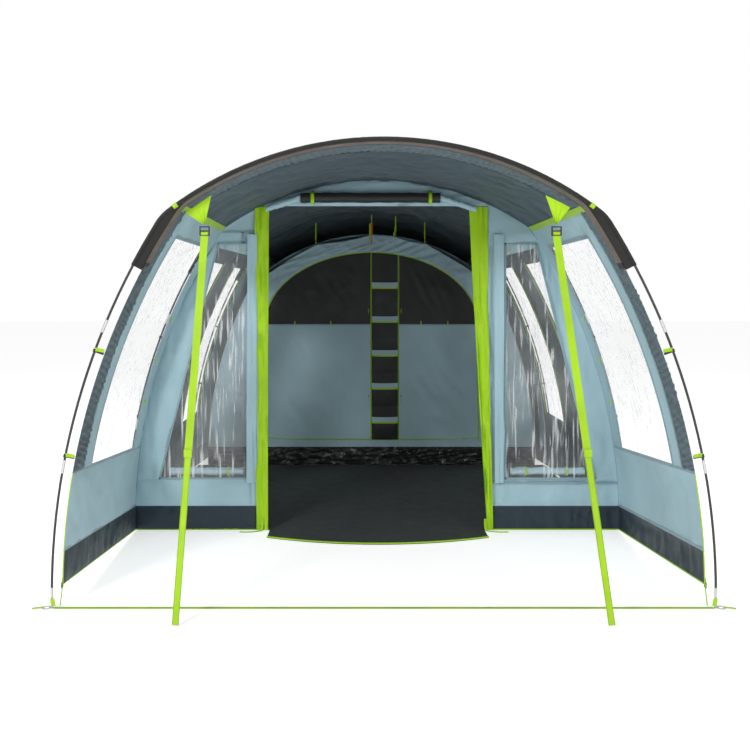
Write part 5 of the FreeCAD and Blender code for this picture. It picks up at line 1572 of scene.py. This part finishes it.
# --------------------------------------------------------------------------------------- webbing
TAPE_WIDTH = 0.022
CLIP_HEIGHTS = (1.150, 0.680)
STRAP_TOP_X = {"left": -0.812, "right": 0.786}
STRAP_FOOT_X = {"left": -0.886, "right": 0.954}
STRAP_WIDTH, DOUBLED_WIDTH = 0.029, 0.034
STRAP_STEPS, TAPE_STEPS = 24, 60
BUCKLE_Z = 0.655                            # the strap is doubled above its buckle
TRIANGLES = (((-0.899, 1.772), (-0.783, 1.852), (STRAP_TOP_X["left"], 1.714)),
             ((0.738, 1.852), (0.850, 1.796), (STRAP_TOP_X["right"], 1.714)))


def add_webbing():
    """Storm straps with their ladder buckles, the ground tape and the corner straps."""
    for side in ("left", "right"):
        name = "storm_strap_" + side
        low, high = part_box(name)
        strap = Piece()
        top = Vector((STRAP_TOP_X[side], FRONT + 0.060, high.z - 0.002))
        foot = Vector((STRAP_FOOT_X[side], low.y + 0.002, 0.006))
        path = [top.lerp(foot, k / STRAP_STEPS) for k in range(STRAP_STEPS + 1)]
        strap.tape(path, (1, 0, 0), STRAP_WIDTH, thick=0.0018, step=0.03)
        for edge in (-0.0125, 0.0125):
            strap.tape([p + Vector((edge, -0.0012, 0)) for p in path], (1, 0, 0), 0.0016,
                       "dark_lime", 0.0006, 0.05)
        tail = [p + Vector((0, -0.0030, -0.0004)) for p in path if p.z > BUCKLE_Z]
        strap.tape(tail, (1, 0, 0), DOUBLED_WIDTH, thick=0.0016, step=0.02,
                   relief=drawn(0.0, 0.3, 0.12, 0.0007, 140.0))
        end = tail[-1]
        strap.tape([end + Vector((0, -0.0025, 0.03)), end + Vector((0, -0.0032, -0.004))],
                   (1, 0, 0), DOUBLED_WIDTH, thick=0.002, step=0.01)
        loop = [top + Vector((0, 0, -0.002)), top + Vector((0, -0.005, 0.012)),
                top + Vector((0, 0.001, 0.024)), top + Vector((0, 0.005, 0.012)),
                top + Vector((0, 0.001, -0.03))]
        strap.tape(loop, (1, 0, 0), 0.030, thick=0.0016, step=0.006)
        strap.make(name + "_webbing", name, "lime_webbing", [name], held="stretched",
                   rests_on=["storm_buckle_" + side])

    tape = Piece()
    low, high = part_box("front_ground_tape")
    path = [Vector((low.x + (high.x - low.x) * k / TAPE_STEPS, FRONT, 0.0012))
            for k in range(TAPE_STEPS + 1)]
    tape.tape(path, (0, 1, 0), TAPE_WIDTH, thick=0.0014, step=0.04,
              relief=lambda u, v: 0.0006 * max(0.0, rough(v / 0.2, 0.0, 141.0)))
    tape.make("ground_tape_webbing", slot="lime_webbing", replaces=["front_ground_tape"],
              held="stretched", rests_on=["foot_rings"])

    triangles = Piece()
    low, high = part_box("strap_triangles")
    y = 0.5 * (low.y + high.y)
    for a, b, tip in TRIANGLES:
        def corner(u, v, a=a, b=b, tip=tip):
            edge = Vector(a).lerp(Vector(b), u)
            spot = Vector(tip).lerp(edge, max(0.06, v))
            return Vector((spot.x, y - 0.004 * math.sin(math.pi * u) * v, spot.y))
        triangles.cloth(corner, (0.0, 1.0), (0.0, 1.0), "lime_cloth", 0.03,
                        lambda u, v: 0.0035 * math.sin(21.0 * u + 1.0) * (1.15 - v), 0.002,
                        pinned=0.0)
    triangles.make("strap_triangle_cloth", slot="lime_webbing", replaces=["strap_triangles"],
                   held="stretched", rests_on=["roof_hem_cloth"])
    add_corners()


def add_corners():
    """Corner webbing and small ladder buckles at the porch and the doorway."""
    straps, buckles = Piece(), Piece()
    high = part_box("corner_straps")[1]
    for side in (-1, 1):
        top = Vector((side * FLY.half_width(SKIRT_LIFT - 0.014), BAND_START + 0.003,
                      SKIRT_LIFT - 0.010))
        foot = Vector((side * (high.x - 0.012), BAND_START + 0.004, 0.006))
        straps.tape([top, foot], (0, 1, 0), 0.012, thick=0.0015)
        centre = Vector((side * FLY.half_width(SKIRT_LIFT), BAND_START + 0.002, SKIRT_LIFT))
        buckles.frame(centre, (0, 0.011, 0), (0, 0, 0.013), 0.002, 0.0016, 2)
        straps.tape([centre + Vector((0, 0, 0.03)), centre + Vector((0, 0, -0.012))],
                    (0, 1, 0), 0.013, thick=0.0014)
    for x, way in ((DOOR_LEFT + 0.017, -1), (DOOR_RIGHT - 0.017, 1)):
        centre = Vector((x, DOOR - 0.012, 0.023))
        buckles.frame(centre, (0.012, 0, 0), (0, 0, 0.014), 0.0025, 0.0018, 2)
        straps.tape([centre + Vector((0, -0.002, 0.05)), centre + Vector((0, -0.003, 0.0)),
                     centre + Vector((way * 0.006, -0.012, -0.017))], (1, 0, 0), 0.018)
        tail = [centre + Vector((way * 0.004, -0.012, -0.019)),
                centre + Vector((way * 0.05, -0.030, -0.0205)),
                centre + Vector((way * 0.10, -0.034, -0.0205)),
                centre + Vector((way * 0.13, -0.030, -0.0205))]
        straps.tape(tail, (0, 1, 0), 0.018, thick=0.0014)
    ring_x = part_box("foot_rings")[1].x - RING_R
    for side in (-1, 1):
        for z in CLIP_HEIGHTS:
            x0, x1 = FLY.half_width(z) + 0.001, POLE.half_width(z) - POLE_R - 0.003
            rise = 0.35 * (x1 - x0)
            tab = [Vector((side * x0, FRONT - 0.0045, z - 0.002)),
                   Vector((side * x1, FRONT - 0.0045, z + rise * 0.4))]
            straps.tape(tab, (0, 0, 1), 0.016, thick=0.0016, step=0.01)
            straps.tape([tab[1] + Vector((0, -0.002, -0.008)), tab[1] + Vector((0, -0.002, 0.008))],
                        (1, 0, 0), 0.012, step=0.006)
        tail = [Vector((side * (ring_x + 0.012), FRONT - 0.002, 0.0052)),
                Vector((side * (ring_x + 0.035), FRONT - 0.006, 0.004)),
                Vector((side * (ring_x + 0.062), FRONT - 0.012, 0.003))]
        straps.tape(tail, (0, 1, 0), 0.018, thick=0.0014, step=0.01)
        lug = [Vector((side * (ring_x - 0.034), FRONT - 0.010, 0.012)),
               Vector((side * (ring_x - 0.030), FRONT - 0.012, 0.045))]
        straps.tape(lug, (1, 0, 0), 0.020, thick=0.0016, step=0.01)
    straps.make("corner_strap_webbing", slot="lime_webbing", replaces=["corner_straps"])
    buckles.make("corner_ladder_buckles", slot="black_plastic", replaces=["corner_buckles"])


# ------------------------------------------------------------------------------------- the stage
CAMERA_X = -0.120
CAMERA_HEIGHT = 1.389
CAMERA_BACK = 3.600
CAMERA_LENS = 38.7
CAMERA_SHIFT = (0.024, -0.104)
SKY_LIGHT = 0.55


def add_stage():
    """Pale floor, soft studio lights, the world's light and the camera."""
    scene = bpy.context.scene
    floor = bpy.data.meshes.new("studio_floor")
    reach = 40.0
    floor.from_pydata([(-reach, -reach, -0.001), (reach, -reach, -0.001), (reach, reach, -0.001),
                       (-reach, reach, -0.001)], [], [(0, 1, 2, 3)])
    floor.materials.append(material("floor"))
    plane = bpy.data.objects.new("studio_floor", floor)
    scene.collection.objects.link(plane)

    world = bpy.data.worlds.new("studio_light")
    world.use_nodes = True
    tree = world.node_tree
    sky = tree.nodes["Background"]
    sky.inputs[0].default_value = (1.0, 1.0, 1.0, 1.0)
    seen = tree.nodes.new("ShaderNodeLightPath").outputs["Is Camera Ray"]
    strength = tree.nodes.new("ShaderNodeMapRange")
    strength.inputs["To Min"].default_value = SKY_LIGHT
    tree.links.new(seen, strength.inputs["Value"])
    tree.links.new(strength.outputs[0], sky.inputs[1])
    scene.world = world

    lamps = (("key_light", (-3.6, FRONT - 5.0, 4.2), (0.6, FRONT + 1.2, 0.9), 1.6, 235.0),
             ("fill_light", (4.2, FRONT - 4.6, 3.0), (-0.4, FRONT + 1.5, 0.9), 2.5, 80.0),
             ("top_light", (0.0, FRONT + 2.0, 6.0), (0.0, FRONT + 2.4, 0.0), 4.0, 160.0))
    for name, where, aim, size, power in lamps:
        data = bpy.data.lights.new(name, "AREA")
        data.shape, data.size, data.energy = "DISK", size, power
        lamp = bpy.data.objects.new(name, data)
        lamp.location = where
        lamp.rotation_euler = (Vector(aim) - Vector(where)).to_track_quat("-Z", "Y").to_euler()
        scene.collection.objects.link(lamp)

    data = bpy.data.cameras.new("front_camera")
    data.lens, data.sensor_width = CAMERA_LENS, 36.0
    data.shift_x, data.shift_y = CAMERA_SHIFT
    camera = bpy.data.objects.new("studio_camera", data)
    camera.location = (CAMERA_X, FRONT - CAMERA_BACK, CAMERA_HEIGHT)
    camera.rotation_euler = (math.radians(90.0), 0.0, 0.0)
    scene.collection.objects.link(camera)
    scene.camera = camera
    scene.view_settings.view_transform = "Standard"


# -------------------------------------------------------------------------------------- operators
class TENT_OT_stage(bpy.types.Operator):
    """Set up the floor, lights and camera"""
    bl_idname = "tent.stage"
    bl_label = "Stage"

    def execute(self, context):
        add_stage()
        return {"FINISHED"}


class TENT_OT_poles(bpy.types.Operator):
    """Finish the poles, ferrules, rings and clips, and sew the sleeves"""
    bl_idname = "tent.poles"
    bl_label = "Poles and Sleeves"

    def execute(self, context):
        finish_nodes("rod", "front_pole", "door_pole", "middle_pole", "rear_pole")
        finish_nodes("steel", "pole_ferrules", "foot_rings", "tape_eyelets")
        finish_nodes("black_plastic", "pole_clips", "storm_buckle_left", "storm_buckle_right")
        for name, y in (("front", FRONT), ("door", DOOR), ("middle", MIDDLE)):
            add_sleeve(name + "_sleeve", POLE, FLY, 1.0, y)
        add_sleeve("rear_sleeve", REAR_POLE, REAR_FLY, REAR_SCALE)
        return {"FINISHED"}


class TENT_OT_canopy(bpy.types.Operator):
    """Sew the porch canopy with its edge band and gathered hem"""
    bl_idname = "tent.canopy"
    bl_label = "Canopy"

    def execute(self, context):
        add_canopy()
        return {"FINISHED"}


class TENT_OT_porch_sides(bpy.types.Operator):
    """Sew the porch sides with their windows and skirts"""
    bl_idname = "tent.porch_sides"
    bl_label = "Porch Sides"

    def execute(self, context):
        add_porch_sides()
        return {"FINISHED"}


class TENT_OT_front_wall(bpy.types.Operator):
    """Sew the front wall, its windows, trims and rolled door"""
    bl_idname = "tent.front_wall"
    bl_label = "Front Wall"

    def execute(self, context):
        add_front_wall()
        add_doorway()
        return {"FINISHED"}


class TENT_OT_living_room(bpy.types.Operator):
    """Sew the living room's roof and sides and lay its groundsheet"""
    bl_idname = "tent.living_room"
    bl_label = "Living Room"

    def execute(self, context):
        add_living_room()
        add_groundsheet()
        return {"FINISHED"}


class TENT_OT_bedroom_fly(bpy.types.Operator):
    """Sew the outer cloth over the bedroom"""
    bl_idname = "tent.bedroom_fly"
    bl_label = "Bedroom Fly"

    def execute(self, context):
        add_bedroom_fly()
        return {"FINISHED"}


class TENT_OT_bedroom(bpy.types.Operator):
    """Hang the inner bedroom with its doors and organiser"""
    bl_idname = "tent.bedroom"
    bl_label = "Inner Bedroom"

    def execute(self, context):
        add_bedroom_shell()
        add_bedroom_front()
        return {"FINISHED"}


class TENT_OT_webbing(bpy.types.Operator):
    """Thread the storm straps, ground tape and corner webbing"""
    bl_idname = "tent.webbing"
    bl_label = "Webbing"

    def execute(self, context):
        add_webbing()
        return {"FINISHED"}


OPERATORS = (TENT_OT_stage, TENT_OT_poles, TENT_OT_canopy, TENT_OT_porch_sides,
             TENT_OT_front_wall, TENT_OT_living_room, TENT_OT_bedroom_fly, TENT_OT_bedroom,
             TENT_OT_webbing)


class TENT_PT_looks(bpy.types.Panel):
    """Lists the tent's colours, sizes and building steps"""
    bl_label = "Tunnel Tent"
    bl_space_type = "VIEW_3D"
    bl_region_type = "UI"
    bl_category = "Tent"

    def draw(self, context):
        for group in (context.scene.tent_colours, context.scene.tent_sizes):
            for key in group.__annotations__:
                self.layout.prop(group, key)
        for operator in OPERATORS:
            self.layout.operator(operator.bl_idname)


CLASSES = (TentColours, TentSizes, *OPERATORS, TENT_PT_looks)


def register():
    for cls in CLASSES:
        bpy.utils.register_class(cls)
    bpy.types.Scene.tent_colours = PointerProperty(type=TentColours)
    bpy.types.Scene.tent_sizes = PointerProperty(type=TentSizes)


def unregister():
    del bpy.types.Scene.tent_sizes
    del bpy.types.Scene.tent_colours
    for cls in reversed(CLASSES):
        bpy.utils.unregister_class(cls)


def main():
    register()
    for operator in OPERATORS:
        getattr(bpy.ops.tent, operator.bl_idname.split(".")[1])()


if __name__ == "__main__":
    main()
